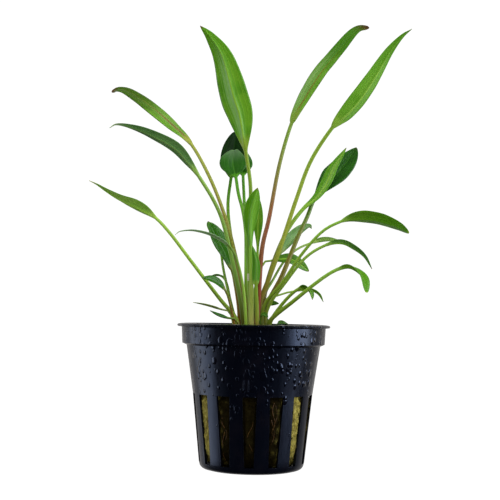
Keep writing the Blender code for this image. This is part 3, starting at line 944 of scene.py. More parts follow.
    def rings(self, line: Route, start: float) -> tuple[Array, Array, Array]:
        """Place the rings along the leaf.

        Args:
            line: The leaf's line.
            start: The distance to the blade's start.

        Returns:
            The distance of each ring, its share of the blade and its share of the stalk.
        """
        stalk_rings = max(3, round(start / self.STALK_STEP))
        stalk = start * np.arange(stalk_rings) / stalk_rings
        blade_length = line.length - start
        blade_rings = max(self.FEWEST_BLADE_RINGS, round(blade_length / self.BLADE_STEP))
        u = np.sin(0.5 * np.pi * np.arange(blade_rings) / blade_rings) ** 1.2
        distance = np.concatenate(((-self.BURIED,), stalk, start + blade_length * u))
        shares = np.concatenate((np.zeros(1 + stalk_rings), u))
        stems = np.clip(distance / start, 0.0, 1.0)
        return distance, shares, stems

    def sizes(self, u: Array, stem: Array, neck: float) -> tuple[Array, Array]:
        """Give the size of every ring.

        Args:
            u: Each ring's share of the blade's length.
            stem: Each ring's share of the stalk's length.
            neck: The stalk's radius where the blade starts.

        Returns:
            The half widths and the half thicknesses.
        """
        stalk = self.stalk_radius * (1.0 + (self.NECK - 1.0) * stem)
        swell = self.stalk_radius * (self.SWELL - 1.0)
        stalk = stalk + swell * (1.0 - stem) ** self.SWELL_POWER
        blade = self.half_width * self.outline(u) + neck * (1.0 - u) ** 4
        width = np.where(u > 0.0, np.maximum(blade, self.TIP_WIDTH), stalk)
        thin = neck + (self.LAMINA - neck) * smooth_step(u / 0.12)
        thin = thin * (1.0 - self.LAMINA_TAPER * smooth_step(u * 2.0 - 1.0))
        return width, np.where(u > 0.0, thin, stalk)

    def ring_shape(self, flat: Array) -> tuple[Array, Array, Array]:
        """Shape the rings, from round on the stalk to flat on the blade.

        Args:
            flat: How far each ring is flattened.

        Returns:
            The places across from -1 to 1, the thickness there, and 1 above and -1 below.
        """
        turn = FULL_TURN * np.arange(self.RING_POINTS) / self.RING_POINTS
        half = np.where(turn <= np.pi, turn, FULL_TURN - turn)
        even = 1.0 - 2.0 * half / np.pi
        even = even * (0.72 + 0.28 * np.abs(even))
        share = flat[:, None]
        v = np.cos(turn)[None] * (1.0 - share) + even[None] * share
        body = np.sqrt(np.clip(1.0 - np.abs(v) ** (2.0 + 5.0 * share), 0.0, 1.0))
        upward = np.sign(np.round(np.sin(turn), 6))
        return v, body, upward

    def relief(self, u: Array, flat: Array, neck: float, thick: Array,
               side: Array, v: Array, upward: Array) -> Array:
        """Raise the midrib below and sink it above, and press the arched veins in.

        Args:
            u: Each ring's share of the blade's length.
            flat: How far each ring is flattened.
            neck: The stalk's radius where the blade starts.
            thick: Each ring's half thickness.
            side: Each point's distance from the midrib.
            v: Each point's place across, from -1 to 1.
            upward: 1 for the points above and -1 for those below.

        Returns:
            How far each point rises.
        """
        height = neck * (1.0 - u) ** self.RIB_POWER * self.RIB_SHARE + self.RIB_LEAST
        rib = np.maximum(height - thick, 0.0) * (u > 0.0)
        shape = np.exp(-(side / (rib + thick)[:, None] / self.RIB_SPREAD) ** 2)
        lift = np.where(upward[None] < 0.0, self.RIB_BELOW, self.RIB_ABOVE) * rib[:, None] * shape
        channel = self.CHANNEL_SINK * thick[:, None] * np.exp(-(v / self.CHANNEL_REACH) ** 2)
        channel = channel * (upward[None] > 0.0) * (1.0 - flat[:, None])
        reach = np.abs(v)
        veins = sum(np.exp(-((reach - place) / self.VEIN_SPREAD) ** 2)
                    for place in self.VEIN_REACHES)
        fade = (flat * (1.0 - self.VEIN_FADE * u))[:, None]
        return lift + channel - self.VEIN_SINK * veins * fade

    def bend(self, u: Array, flat: Array, width: Array, distance: Array, v: Array) -> Array:
        """Fold the blade along its midrib, bow its halves and wave its margins.

        Args:
            u: Each ring's share of the blade's length.
            flat: How far each ring is flattened.
            width: Each ring's half width.
            distance: Each ring's distance from the stalk's foot.
            v: Each point's place across, from -1 to 1.

        Returns:
            How far each point rises.
        """
        draw = random.Random(self.name)
        slope = math.tan(math.radians(self.fold_deg))
        fold = (np.sqrt(v ** 2 + self.FOLD_ROUNDING) - 0.5) * width[:, None] * slope
        bow = self.BOW * width[:, None] * np.abs(v) * (1.0 - np.abs(v))
        waves = np.zeros_like(v)
        for way in (-1.0, 1.0):
            for length, strength in self.WAVES:
                length *= draw.uniform(*self.WAVE_STRETCH)
                phase = draw.uniform(0.0, FULL_TURN)
                wave = np.sin(FULL_TURN * distance / length + phase)[:, None]
                waves += strength * wave * np.abs(v) ** self.WAVE_POWER * (v * way > 0.0)
        room = np.minimum(width / self.FULL_WAVE_WIDTH, 1.0) * np.sin(np.pi * u) ** 0.5
        return (fold + bow + self.wave * waves * room[:, None]) * flat[:, None]

    @staticmethod
    def ring_faces(rows: int, points: int) -> Faces:
        """Join the rings by faces, with a cap at the foot and a point at the tip.

        Args:
            rows: The number of rings.
            points: The number of points in a ring.

        Returns:
            The faces.
        """
        last = (rows - 1) * points
        faces = [tuple(range(points))]
        faces += [(b, a, d, c) for a, b, c, d in band(0, points, rows)]
        faces += [(last + (point + 1) % points, last + point, last + points)
                  for point in range(points)]
        return faces


# every leaf, with the points of its stalk and of its midrib in millimetres
LEAVES = (
    # the tall ones
    Leaf("tall_left", Slot.FRESH, TALL_SCARRED, (-1.2, -0.9), -14,
        ((-1.5, 60.5), (-2.5, 84), (-2, 100.5)),
        ((-4, 114), (-6, 126), (-8.5, 133.5), (-12.5, 146.5), (-17, 153.5), (-21, 157.5)),
        5.2, (0.25, 0.95, 0.1), widest=0.4, base_power=1.6, stalk_radius=0.78),
    Leaf("tall_right", Slot.FRESH, RED_STALKED, (0.9, -2.4), 26,
        ((1.5, 60.5), (2.5, 79), (5, 91), (8.5, 111)),
        ((13, 127.5), (17.5, 137), (23.5, 147.5), (30.7, 157.2), (37.5, 166), (43, 168.3)),
        3.75, (-0.55, -0.7, 0.45), tip_face=(-0.55, -0.75, 0.36), widest=0.46,
        base_power=0.66, tip_power=0.33, stalk_radius=0.8, wave=0.05),
    Leaf("far_right", Slot.BRIGHT, BRIGHT_RIBBED, (1.8, 0.5), -18,
        ((2, 59), (5, 68), (9.5, 81), (14.5, 97), (19.5, 111)),
        ((27, 123), (32.5, 128.5), (37.4, 134.5), (42.1, 141.9), (46.5, 149.4),
         (50.6, 154.4), (54, 157)),
        4, (-0.55, 0.7, 0.45), widest=0.32, base_power=1.4, tip_power=0.86,
        stalk_radius=0.8, wave=0.05, fold_deg=11.0),
    Leaf("upper_left", Slot.FRESH, BROWN_STALKED, (-2.9, 0.9), 28,
        ((-3.5, 60.5), (-7, 76), (-11, 90.5), (-17, 105.5)),
        ((-24.7, 119.3), (-32.8, 127.6), (-41.3, 135.2), (-49.5, 141.2), (-54, 142.9),
         (-57.4, 142.3)),
        4.05, (0.45, -0.65, 0.6), widest=0.5, base_power=0.8, tip_power=0.36,
        stalk_radius=0.74, wave=0.03, fold_deg=4.0, skew=-0.16),
    Leaf("twisted_left", Slot.BLUISH, BLUISH, (-3.2, -2.4), -26,
        ((-5, 60.5), (-8, 74), (-11.5, 87.5), (-15, 95.5)),
        ((-20.6, 104.1), (-23.8, 108.2), (-28.5, 113.1), (-36, 116.8), (-42.5, 118.9),
         (-48, 119.5), (-50.5, 118)),
        2.45, (0.3, 0.85, 0.45), tip_face=(0.35, 0.45, 0.85), widest=0.4, base_power=1.5,
        stalk_radius=0.76, wave=0.06),
    Leaf("long_left", Slot.BRIGHT, LONG_STALKED, (-5.4, -3.6), -28,
        ((-6.5, 54), (-12.2, 60.6), (-23.2, 74.6), (-29.8, 83.1)),
        ((-35, 88.5), (-41, 92), (-47, 94.5), (-51.5, 97), (-54, 98.5), (-56.5, 99.5)),
        3.5, (0.35, 0.75, 0.6), tip_face=(0.4, -0.1, 0.85), base_power=1.3,
        tip_power=0.95, stalk_radius=0.66, wave=0.04),
    # those in the middle
    Leaf("dark_back", Slot.DEEP, SHADED_DEEP, (-3, 3.8), 24,
        ((-5, 64.5), (-9, 84), (-10.5, 96.5)),
        ((-9.6, 107.5), (-9.2, 115), (-8, 127)),
        4.9, (0.05, -0.97, 0.2), tip_power=0.55, stalk_radius=0.7),
    Leaf("dark_folded", Slot.DEEP, HOODED, (-0.3, 2.6), 13,
        ((-1.5, 64.5), (-4, 89.5), (-6.5, 100)),
        ((-7.6, 106.5), (-8.9, 112.5), (-8.6, 117.5), (-8.2, 117)),
        5.3, (0, -1, 0.2), tip_face=(0, 0.2, 1), base_power=1.5, stalk_radius=0.72,
        lean_power=4.0),
    Leaf("dark_hidden", Slot.DEEP, HOODED, (-1.9, 6.3), 18,
        ((-3, 64.5), (-3.5, 85), (-4.5, 100.5)),
        ((-5, 108.5), (-5, 113.5), (-4.5, 119)),
        3.5, (-0.1, -0.95, 0.3), base_power=1.5, stalk_radius=0.68),
    Leaf("front_upright", Slot.BRIGHT, UPRIGHT, (-0.8, -4.7), -6,
        ((-1, 60.5),),
        ((-1.5, 77.5), (-2, 86.5), (-1.5, 92.5), (0.5, 100.5)),
        2.7, (0.1, 0.97, 0.2), widest=0.65, base_power=1.0, stalk_radius=0.85),
    Leaf("front_spear", Slot.BRIGHT, SPEAR, (1.4, -6.6), -2,
        ((1, 57.5),),
        ((0.5, 66), (0.5, 73.5), (-1, 80)),
        1.4, (0, 0.95, 0.2), base_power=0.8, stalk_radius=0.75),
    Leaf("behind_front", Slot.FRESH, FRESH, (2, 3), 3,
        ((1, 63.5),),
        ((1, 78), (1, 88.5), (1, 99)),
        1.9, (-0.3, -0.9, 0.1), widest=0.6),
    # on the right
    Leaf("right_light", Slot.BRIGHT, BROWN_FOOTED, (3.4, 5.2), 14,
        ((3.5, 61), (7, 75), (12, 87)),
        ((18, 95.5), (23, 100), (26.5, 105.5), (29.5, 112), (34.5, 120)),
        2.7, (-0.5, -0.65, 0.5), widest=0.5, base_power=1.0, stalk_radius=0.85),
    Leaf("right_dark", Slot.DEEP, DEEP, (4.2, 1.4), 30,
        ((4.5, 58), (10, 69.5), (15.5, 83.5), (19.5, 92.5)),
        ((22.5, 100), (28.5, 107.5), (34, 114), (39.5, 122)),
        5.2, (-0.35, -0.85, 0.3), widest=0.5, tip_power=0.7, stalk_radius=0.88),
    Leaf("right_level", Slot.BRIGHT, LEVEL, (2.7, -4.2), -24,
        ((3.5, 58.5), (10, 67), (16.5, 77), (23.5, 85)),
        ((30, 88.5), (34.5, 89.5), (41, 89), (48, 86.5), (52, 84)),
        3.5, (0, 0.6, 0.8), widest=0.45, base_power=1.1, tip_power=0.45),
    Leaf("right_arch_front", Slot.FRESH, ARCHED, (3.5, -1.4), -14,
        ((5, 58), (11, 67), (18, 76)),
        ((25, 80.5), (30.5, 81.5), (35, 79.5), (38.5, 76.5), (41, 72)),
        1.75, (0.1, 0.5, 0.85)),
    Leaf("right_arch_back", Slot.OLIVE, OLIVE, (3.6, 7.4), 24,
        ((3.5, 61), (7, 68.5), (11, 75.5), (16, 80.5)),
        ((22.5, 83.5), (29, 85), (36, 84)),
        2.2, (0, -0.5, 0.85), stalk_radius=0.5),
    Leaf("right_short", Slot.FRESH, SHORT, (0.4, 4.8), 9,
        ((0, 63.5), (3, 74)),
        ((6, 75.5), (12.5, 76.5), (16.5, 75), (20.5, 72)),
        2.4, (0, -0.85, 0.5), widest=0.5, tip_power=0.6, stalk_radius=0.45),
    Leaf("right_curled", Slot.BLUISH, CURLED, (1.4, 6.1), 20,
        ((3, 62), (7.5, 74)),
        ((10, 79), (13.5, 84), (17.5, 88), (21, 90), (22, 89)),
        3, (-0.5, 0.7, 0.5), stalk_radius=0.5),
    Leaf("low_right_arch", Slot.BRIGHT, LEVEL, (4.9, -5.9), -24,
        ((5.5, 53), (14, 60.5), (23, 68)),
        ((28.5, 71.5), (33, 72.5), (37, 69), (37.5, 63.5)),
        2.2, (0, 0.4, 0.9), tip_face=(0.6, -0.8, 0.1), widest=0.55, base_power=0.8,
        tip_power=0.36, stalk_radius=0.72, wave=0.05),
    Leaf("small_right_front", Slot.FRESH, SHORT, (5.4, -3), -9,
        ((6, 53), (11, 60.5)),
        ((16, 65), (19.5, 64.5), (20.5, 61)),
        2.2, (0.2, 0.4, 0.9), tip_face=(0.75, -0.6, 0.2), stalk_radius=0.66),
    Leaf("small_right_back", Slot.FRESH, FRESH, (5.6, 3.1), 9,
        ((4.5, 59.5), (10, 63)),
        ((16, 64.5), (20.5, 65), (24, 63.5), (26, 60.5)),
        1, (0.1, 0.4, 0.9), stalk_radius=0.4),
    Leaf("bud_right", Slot.DEEP, BUD, (6.4, 0.5), -1.5,
        ((4, 57.5),),
        ((5, 59), (6.5, 59.5), (9, 59.5)),
        1.5, (-0.1, -0.6, 0.8), stalk_radius=0.4),
    Leaf("bud_centre", Slot.BLUISH, BUD, (3.5, -7.8), -2,
        ((2, 53.5),),
        ((2.5, 55), (3.5, 55.5), (5, 54.5)),
        1.3, (0, -0.5, 0.8), stalk_radius=0.4),
    Leaf("rim_right", Slot.BRIGHT, BUD, (7, 4.6), 6,
        ((7.5, 51.3),),
        ((9, 52.1), (11, 52.6), (13, 51.9)),
        1.6, (0, -0.5, 0.9), tip_power=0.5, stalk_radius=0.45),
    # on the left
    Leaf("left_dark", Slot.DEEP, GLOSSY_DEEP, (-5.1, 0.6), 2,
        ((-5.5, 57), (-7.1, 66.5)),
        ((-8.3, 71.5), (-11.1, 78.3), (-14.3, 84), (-17, 89)),
        4, (0.5, -0.7, 0.5), widest=0.55, base_power=0.75, tip_power=0.6, stalk_radius=0.7),
    Leaf("left_pale", Slot.FRESH, SATIN, (-4.9, 2.9), 14,
        ((-8, 57.5), (-11.5, 71.5)),
        ((-13, 80), (-15.5, 86), (-18, 90.5)),
        3.5, (0.6, -0.5, 0.6), widest=0.6, stalk_radius=0.55),
    Leaf("left_ribbon", Slot.BLUISH, RIBBON, (-2.5, -6.4), -20,
        ((-3.5, 61), (-5.5, 71.5)),
        ((-8.5, 78.5), (-14.5, 82.5), (-21, 84), (-25.5, 83.5), (-27.5, 82)),
        1.5, (0.2, 0.1, 1), stalk_radius=0.55, fold_deg=8.0, wave=0.05),
    Leaf("small_left", Slot.DEEP, GLOSSY_DEEP, (-5.9, -5.4), -10,
        ((-8.5, 58.5),),
        ((-10.5, 64), (-14, 67), (-18.5, 68)),
        2.1, (0.2, -0.7, 0.7), stalk_radius=0.45),
    Leaf("wisp_left", Slot.FRESH, FRESH, (-5.4, 5), 10,
        ((-8.5, 59.5),),
        ((-10.5, 67.5), (-13.5, 70), (-18.5, 68.5)),
        0.9, (0.1, 0.1, 1), stalk_radius=0.45),
    Leaf("thread_left", Slot.OLIVE, THREAD, (-6.6, -1.2), 6,
        ((-8.5, 55.5),),
        ((-11.5, 57), (-17, 58.5), (-22.5, 59.5)),
        0.9, (0.1, 0.3, 1), stalk_radius=0.4),
    Leaf("low_left", Slot.DEEP, DEEP, (-4.2, -7), -8,
        ((-6, 53),),
        ((-9, 54), (-12.5, 55), (-15.5, 56.5)),
        1.3, (0.1, -0.5, 0.85), stalk_radius=0.45),
)


@dataclass(frozen=True)
class PlasticFinish:
    """Wet black moulded plastic, with beads of water that are only in its finish."""

    # the large and the small beads: their pitch as a share of bead_pitch, and their shift
    BEAD_LAYERS = ((1.0, 0.0), (0.6, 7.3))
    # the widest bead's radius as a share of its pitch, and how upright the beads are stretched
    BEAD_REACH = 0.42
    BEAD_STRETCH = (1.0, 1.0, 0.8)
    # the heights between which beads get common, and the chances of one below and above
    BEAD_HEIGHTS = (6.0, 44.0)
    FEWEST_BEADS = 0.10
    MORE_BEADS = 0.62
    FLOW_STRETCH = (0.5, 0.5, 0.08)
    TEXTURE_MM = 0.12

    body: Colour = srgb(2, 3, 9)
    dull: Colour = srgb(7, 6, 12)
    tint: Colour = (0.46, 0.60, 1.0)
    sheen: float = 0.30
    bead_pitch: float = 2.8
    bead_depth: float = 0.29

    def paint(self) -> bpy.types.Material:
        """Make the material.

        Returns:
            The material.
        """
        shader = Shader("wet_black_plastic")
        spot = shader.place()
        height = shader.node("ShaderNodeSeparateXYZ", None, {0: spot}, output="Z")
        beads = self.beads(shader, shader.place(self.BEAD_STRETCH), height)
        clouds = shader.noise(spot, 0.22, 4.0)
        flow = shader.noise(shader.place(self.FLOW_STRETCH), 1.0)
        colour = shader.blend(self.body, self.dull, clouds.between(0.4, 0.75))
        rough = self.sheen + (flow - 0.5) * 0.22
        rough = rough * (1.0 - beads.between(0.02, 0.2) * 0.55)
        texture = shader.noise(spot, 3.0, 2.0)
        soft = shader.bump(texture * 0.05 + flow * 0.4, self.TEXTURE_MM)
        normal = shader.bump(beads, self.bead_depth, soft)
        return shader.finish(
            Base_Color=colour, Roughness=rough, Normal=normal, Specular_IOR_Level=0.5,
            Specular_Tint=self.tint)

    def beads(self, shader: Shader, spot: Socket, height: Socket) -> Socket:
        """Raise round beads, which are thickest on the collar and the upper wall.

        Args:
            shader: The plastic's shader.
            spot: The place on the pot.
            height: The height on the pot in millimetres.

        Returns:
            The beads' height, from 0 between them to 1 on the widest.
        """
        total: Optional[Socket] = None
        for share, shift in self.BEAD_LAYERS:
            moved = shader.node(
                "ShaderNodeVectorMath", {"operation": "ADD"}, {0: spot, 1: (shift, shift, shift)})
            inputs = {"Vector": moved, "Scale": 1.0 / (self.bead_pitch * share), "Randomness": 0.95}
            apart = shader.node("ShaderNodeTexVoronoi", None, inputs, output="Distance")
            tint = shader.node("ShaderNodeTexVoronoi", None, inputs, output="Color")
            chance = shader.node("ShaderNodeSeparateColor", None, {0: tint}, output=0)
            keep = height.between(*self.BEAD_HEIGHTS) * self.MORE_BEADS + self.FEWEST_BEADS
            size = (keep - chance).between(0.0, 0.35) * self.BEAD_REACH
            lens = (1.0 - apart / size.larger(0.001)).larger(0.0)
            bead = lens ** 0.5 * size / self.BEAD_REACH
            total = bead if total is None else total.larger(bead)
        return total


@dataclass
class NetPot:
    """The net pot: a moulded lip, collar, tapered wall with slots, and a pierced base.

    The lip's section runs over its rounded inner edge, its crest and its rim, and lip_drops says
    how far each of these points lies below the top.
    """

    HEEL_ANGLES_DEG = (-20.0, -36.0, -52.0, -67.0)
    UPPER_ROWS = 6
    SLOT_ROWS = 12
    BASE_SLOT_ROWS = 6

    height: float = 52.0
    lip_radius: float = 27.8
    lip_crest: float = 26.4
    lip_inner: float = 24.9
    lip_rounding: float = 0.4
    lip_drops: Sequence[float] = (0.0, 0.08, 0.25, 0.7, 1.15)
    lip_inner_drop: float = 0.5
    throat: float = 48.0
    collar_radius: float = 26.1
    collar_top: float = 50.7
    collar_bottom: float = 44.9
    collar_foot_radius: float = 25.8
    wall_top: float = 44.2
    wall_top_radius: float = 24.2
    waist: float = 27.0
    waist_radius: float = 21.6
    wall_foot: float = 2.8
    wall_foot_radius: float = 19.0
    heel_middle: Point = (16.8, 2.2)
    heel_radius: float = 2.0
    base_radius: float = 16.2
    floor_radius: float = 16.0
    hub_radius: float = 1.2
    wall: float = 1.0
    base_thick: float = 1.3
    inner_foot: float = 2.5
    slots: int = 14
    first_slot_deg: float = -92.9
    slot_bottom: float = 2.6
    slot_top_width: float = 5.1
    slot_bottom_width: float = 3.3
    slot_columns: int = 5
    bar_columns: int = 6
    base_slots: int = 7
    base_slot_inner: float = 5.5
    base_slot_outer: float = 13.4
    base_slot_width: float = 3.4
    rib_foot: float = 28.2
    rib_top: float = 33.2
    rib_gap: float = 1.7
    rib_shift: float = -1.3
    rib_radius: float = 0.30
    rib_end_radius: float = 0.04
    rib_sunk: float = 0.45
    rib_bluntness: float = 0.35
    rib_steps: int = 14
    rib_sides: int = 12
    edge_rounding: float = 0.16
    rounded_from_deg: float = 38.0
    finish: PlasticFinish = PlasticFinish()

    def outer_radius(self, height: float) -> float:
        """Give the wall's outer radius below the collar.

        Args:
            height: The height.

        Returns:
            The radius there.
        """
        heel_top = self.heel_point(self.HEEL_ANGLES_DEG[0])
        heights = (heel_top[1], self.wall_foot, self.waist, self.wall_top)
        radii = (heel_top[0], self.wall_foot_radius, self.waist_radius, self.wall_top_radius)
        return float(np.interp(height, heights, radii))

    def inner_radius(self, height: float) -> float:
        """Give the wall's inner radius below the collar.

        Args:
            height: The height.

        Returns:
            The radius there.
        """
        slope = (self.waist_radius - self.wall_foot_radius) / (self.waist - self.wall_foot)
        foot = self.wall_foot_radius - self.wall + slope * (self.inner_foot - self.wall_foot)
        heights = (self.inner_foot, self.waist, self.wall_top)
        radii = (foot, self.waist_radius - self.wall, self.wall_top_radius - self.wall)
        return float(np.interp(height, heights, radii))

    def heel_point(self, angle_deg: float) -> Point:
        """Give a point of the rounded heel by its angle, below 0 under the heel's middle."""
        angle = math.radians(angle_deg)
        return (self.heel_middle[0] + self.heel_radius * math.cos(angle),
                self.heel_middle[1] + self.heel_radius * math.sin(angle))

    def slot_width(self, height: Numbers) -> Numbers:
        """Give the wall slots' width at a height, or at several."""
        share = np.clip((height - self.slot_bottom) / (self.waist - self.slot_bottom), 0.0, 1.0)
        return self.slot_bottom_width + (self.slot_top_width - self.slot_bottom_width) * share

    def wall_angles(self, height: float, radius: float) -> Array:
        """Space the columns of one row evenly in the slots and in the bars between them.

        Args:
            height: The row's height.
            radius: The row's radius.

        Returns:
            The angle of each column in degrees.
        """
        half = math.degrees(0.5 * self.slot_width(height) / radius)
        pitch = FULL_TURN_DEG / self.slots
        angles = []
        for slot in range(self.slots):
            middle = self.first_slot_deg + slot * pitch
            angles += [middle - half + 2.0 * half * step / self.slot_columns
                       for step in range(self.slot_columns)]
            angles += [middle + half + (pitch - 2.0 * half) * step / self.bar_columns
                       for step in range(self.bar_columns)]
        return np.array(angles)

    def base_angles(self, radius: float) -> Array:
        """Space the columns of a row in the base, so that some bars' columns bound its slots.

        Args:
            radius: The row's radius.

        Returns:
            The angle of each column in degrees.
        """
        even = self.wall_angles(self.slot_bottom, self.wall_foot_radius)
        pitch = FULL_TURN_DEG / self.slots
        half_slot = math.degrees(0.5 * self.slot_bottom_width / self.wall_foot_radius)
        half_bar = 0.5 * pitch - half_slot
        reach = min(max(radius, self.base_slot_inner), self.base_slot_outer)
        beyond = (radius - self.base_slot_outer) / (self.base_radius - self.base_slot_outer)
        half_base = math.degrees(math.asin(0.5 * self.base_slot_width / reach))
        before = []
        after = []
        for slot in range(-2, self.base_slots + 1):
            bar = self.first_slot_deg + (3.5 + 2.0 * slot) * pitch
            middle = FULL_TURN_DEG * slot / self.base_slots
            before += [bar - half_bar, bar + half_bar]
            after += [middle - half_base, middle + half_base]
        spaced = np.interp(even, before, after)
        return spaced + (even - spaced) * np.clip(beyond, 0.0, 1.0)

    def build(self) -> Skin:
        """Model the pot as one grid of columns and rows, open at its slots.

        Returns:
            The pot's skin.
        """
        slot_levels = [self.waist + (self.wall_foot - self.waist) * step / self.SLOT_ROWS
                       for step in range(self.SLOT_ROWS + 1)]
        slot_levels.append(self.slot_bottom)
        upper_levels = [self.wall_top + (self.waist - self.wall_top) * step / self.UPPER_ROWS
                        for step in range(self.UPPER_ROWS)]
        spans = np.linspace(self.base_slot_outer, self.base_slot_inner, self.BASE_SLOT_ROWS)
        rim = self.lip_radius - self.lip_rounding
        lip = (self.lip_inner + self.lip_rounding, self.lip_crest, rim, self.lip_radius, rim)
        collar_top = (self.collar_radius, self.collar_top)
        collar_foot = (self.collar_foot_radius, self.collar_bottom)
        collar_middle = tuple(0.5 * (top + foot) for top, foot in zip(collar_top, collar_foot))

        # down the outside, along the underside, back along the floor and up the inside
        rows = [(radius, self.height - drop) for radius, drop in zip(lip, self.lip_drops)]
        rows += [collar_top, collar_middle, collar_foot]
        rows += [(self.outer_radius(level), level) for level in upper_levels]
        first_outer = len(rows)
        rows += [(self.outer_radius(level), level) for level in slot_levels]
        rows += [self.heel_point(angle) for angle in self.HEEL_ANGLES_DEG]
        rows.append((self.base_radius, 0.0))
        first_below = len(rows)
        rows += [(radius, 0.0) for radius in spans]
        rows.append((self.hub_radius, 0.0))
        last_below = len(rows) - 1
        rows.append((self.hub_radius, self.base_thick))
        rows += [(radius, self.base_thick) for radius in spans[::-1]]
        last_above = len(rows) - 1
        rows.append((self.floor_radius, self.base_thick))
        rows.append((self.inner_radius(self.inner_foot), self.inner_foot))
        rows += [(self.inner_radius(level), level) for level in slot_levels[::-1]]
        last_inner = len(rows) - 1
        rows += [(self.inner_radius(level), level) for level in upper_levels[::-1]]
        rows += [(self.collar_foot_radius - self.wall, self.collar_bottom),
                 (self.lip_inner, self.throat), (self.lip_inner, self.height - self.lip_inner_drop)]

        base_rows = range(first_below - 1, last_above + 2)
        places = []
        for index, (radius, height) in enumerate(rows):
            on_base = index in base_rows
            angles = self.base_angles(radius) if on_base else self.wall_angles(height, radius)
            places.append(turned(radius, np.radians(angles), height))
        sector = self.slot_columns + self.bar_columns
        openings = [(slot * sector, self.slot_columns, first_outer, last_inner, len(slot_levels))
                    for slot in range(self.slots)]
        openings += [(slot * sector + self.slot_columns, self.bar_columns,
                      first_below, last_above, len(spans)) for slot in range(1, self.slots, 2)]
        return Skin(np.vstack(places), self.faces(len(rows), last_below, openings))

    def faces(self, rows: int, last_below: int, openings: Sequence[tuple[int, ...]]) -> Faces:
        """Join the grid by faces, and line its openings.

        Args:
            rows: The number of rows.
            last_below: The innermost row of the underside.
            openings: Each opening's first column, its width in columns, the rows at its end on
                the outside and on the inside, and the number of its rows.

        Returns:
            The faces.
        """
        columns = (self.slot_columns + self.bar_columns) * self.slots
        open_cells = {
            (row, column)
            for first, width, outside, inside, depth in openings
            for step in range(depth - 1)
            for row in (outside + step, inside - step - 1)
            for column in range(first, first + width)}

        def corner(row: int, column: int) -> int:
            """Number a point of the grid, which wraps round both ways."""
            return (row % rows) * columns + column % columns

        def face(*corners: tuple[int, int]) -> tuple[int, ...]:
            """Number the corners of one face."""
            return tuple(corner(row, column) for row, column in corners)

        faces = [face((row, column), (row, column + 1), (row + 1, column + 1), (row + 1, column))
                 for row in range(rows) if row != last_below
                 for column in range(columns) if (row, column) not in open_cells]
        faces.append(face(*((last_below, column) for column in range(columns))))
        faces.append(face(*((last_below + 1, column) for column in reversed(range(columns)))))
        for first, width, outside, inside, depth in openings:
            for step in range(depth - 1):
                for column in (first, first + width):
                    faces.append(face((outside + step, column), (outside + step + 1, column),
                                      (inside - step - 1, column), (inside - step, column)))
            for column in range(first, first + width):
                for step in (0, depth - 1):
                    faces.append(face((outside + step, column), (outside + step, column + 1),
                                      (inside - step, column + 1), (inside - step, column)))
        return faces

    def ribs(self) -> Skin:
        """Model a pair of low moulded ribs above the front slot, and one behind.

        Returns:
            One skin of all the ribs.
        """
        share = np.linspace(0.0, 1.0, self.rib_steps)
        heights = self.rib_foot + (self.rib_top - self.rib_foot) * share
        radii = np.array([self.outer_radius(height) for height in heights])
        lines = []
        for slot in (0, self.slots // 2):
            for way in (-0.5, 0.5):
                turn = math.radians(self.first_slot_deg + slot * FULL_TURN_DEG / self.slots)
                turn = turn + (way * self.rib_gap + self.rib_shift) / radii
                reach = radii - self.rib_radius * self.rib_sunk
                lines.append(turned(reach, turn, heights))
        routes = np.array(lines)
        swell = np.maximum(np.sin(np.pi * share), 0.0) ** self.rib_bluntness
        sizes = self.rib_end_radius + (self.rib_radius - self.rib_end_radius) * swell
        sizes = np.tile(sizes, (len(routes), 1))
        return tubes(routes, sizes, unit(routes * (1.0, 1.0, 0.0)), self.rib_sides)

    def add(self) -> bpy.types.Object:
        """Make the pot, with its edges rounded and its small moulded ribs.

        Returns:
            The pot.
        """
        moulding = joined(self.build(), self.ribs())
        pot = moulding.make("net_pot_moulding", self.finish.paint(), Slot.POT_PLASTIC, ("net_pot",))
        rounding = pot.modifiers.new("rounded_edges", "BEVEL")
        rounding.width = self.edge_rounding * MM
        rounding.segments = 2
        rounding.limit_method = "ANGLE"
        rounding.angle_limit = math.radians(self.rounded_from_deg)
        rounding.harden_normals = True
        return pot


@dataclass(frozen=True)
class WoolFinish:
    """Matt growing wool, olive yellow where it is dry, and dark brown where it is damp and where
    painted shade darkens it behind the front slots.
    """

    TUFT_STRETCH = (1.0, 1.0, 0.55)
    TUFT_MM = 0.35
    SOAKED_AND_SHADED_DEPTH = 0.985

    bright: Colour = srgb(170, 160, 88)
    plain: Colour = srgb(132, 121, 54)
    shade: Colour = srgb(60, 46, 16)
    rust: Colour = srgb(120, 78, 34)
    # near black: damp wool, darkened further by painted shade behind the front slots
    soaked_and_shaded: Colour = srgb(13, 8, 1)

    def paint(self, name: str, fibre: bool) -> bpy.types.Material:
        """Make the material.

        Args:
            name: The material's name.
            fibre: Whether it is for the loose fibres, which hold a tone each.

        Returns:
            The material.
        """
        shader = Shader(name)
        spot = shader.place()
        clouds = shader.noise(spot, 0.35)
        tufts = shader.noise(shader.place(self.TUFT_STRETCH), 1.0, 4.0)
        colour = shader.blend(self.plain, self.bright, tufts.between(0.4, 0.7))
        colour = shader.blend(colour, self.shade, clouds.between(0.52, 0.75) * 0.7)
        rusty = shader.noise(spot, 0.5, 2.0).between(0.6, 0.75)
        colour = shader.blend(colour, self.rust, rusty * 0.6)
        wet = shader.attribute("wet")
        if fibre:
            tone = shader.attribute("tone")
            colour = shader.blend(colour, self.bright, tone.between(0.3, 1.0) * 0.5)
            colour = shader.blend(colour, self.shade, tone.between(0.35, 0.0) * 0.5)
        # dampness darkens the wool, and so does painted shade behind the front slots, which the
        # side lights reach least
        patches = (wet + (clouds - 0.5) * 1.1).between(0.2, 0.8)
        colour = shader.blend(colour, self.soaked_and_shaded, patches * self.SOAKED_AND_SHADED_DEPTH)
        normal = shader.bump(tufts + shader.noise(spot, 5.0, 2.0) * 0.5, self.TUFT_MM)
        return shader.finish(
            Base_Color=colour, Roughness=0.95, Normal=normal, Specular_IOR_Level=0.06)


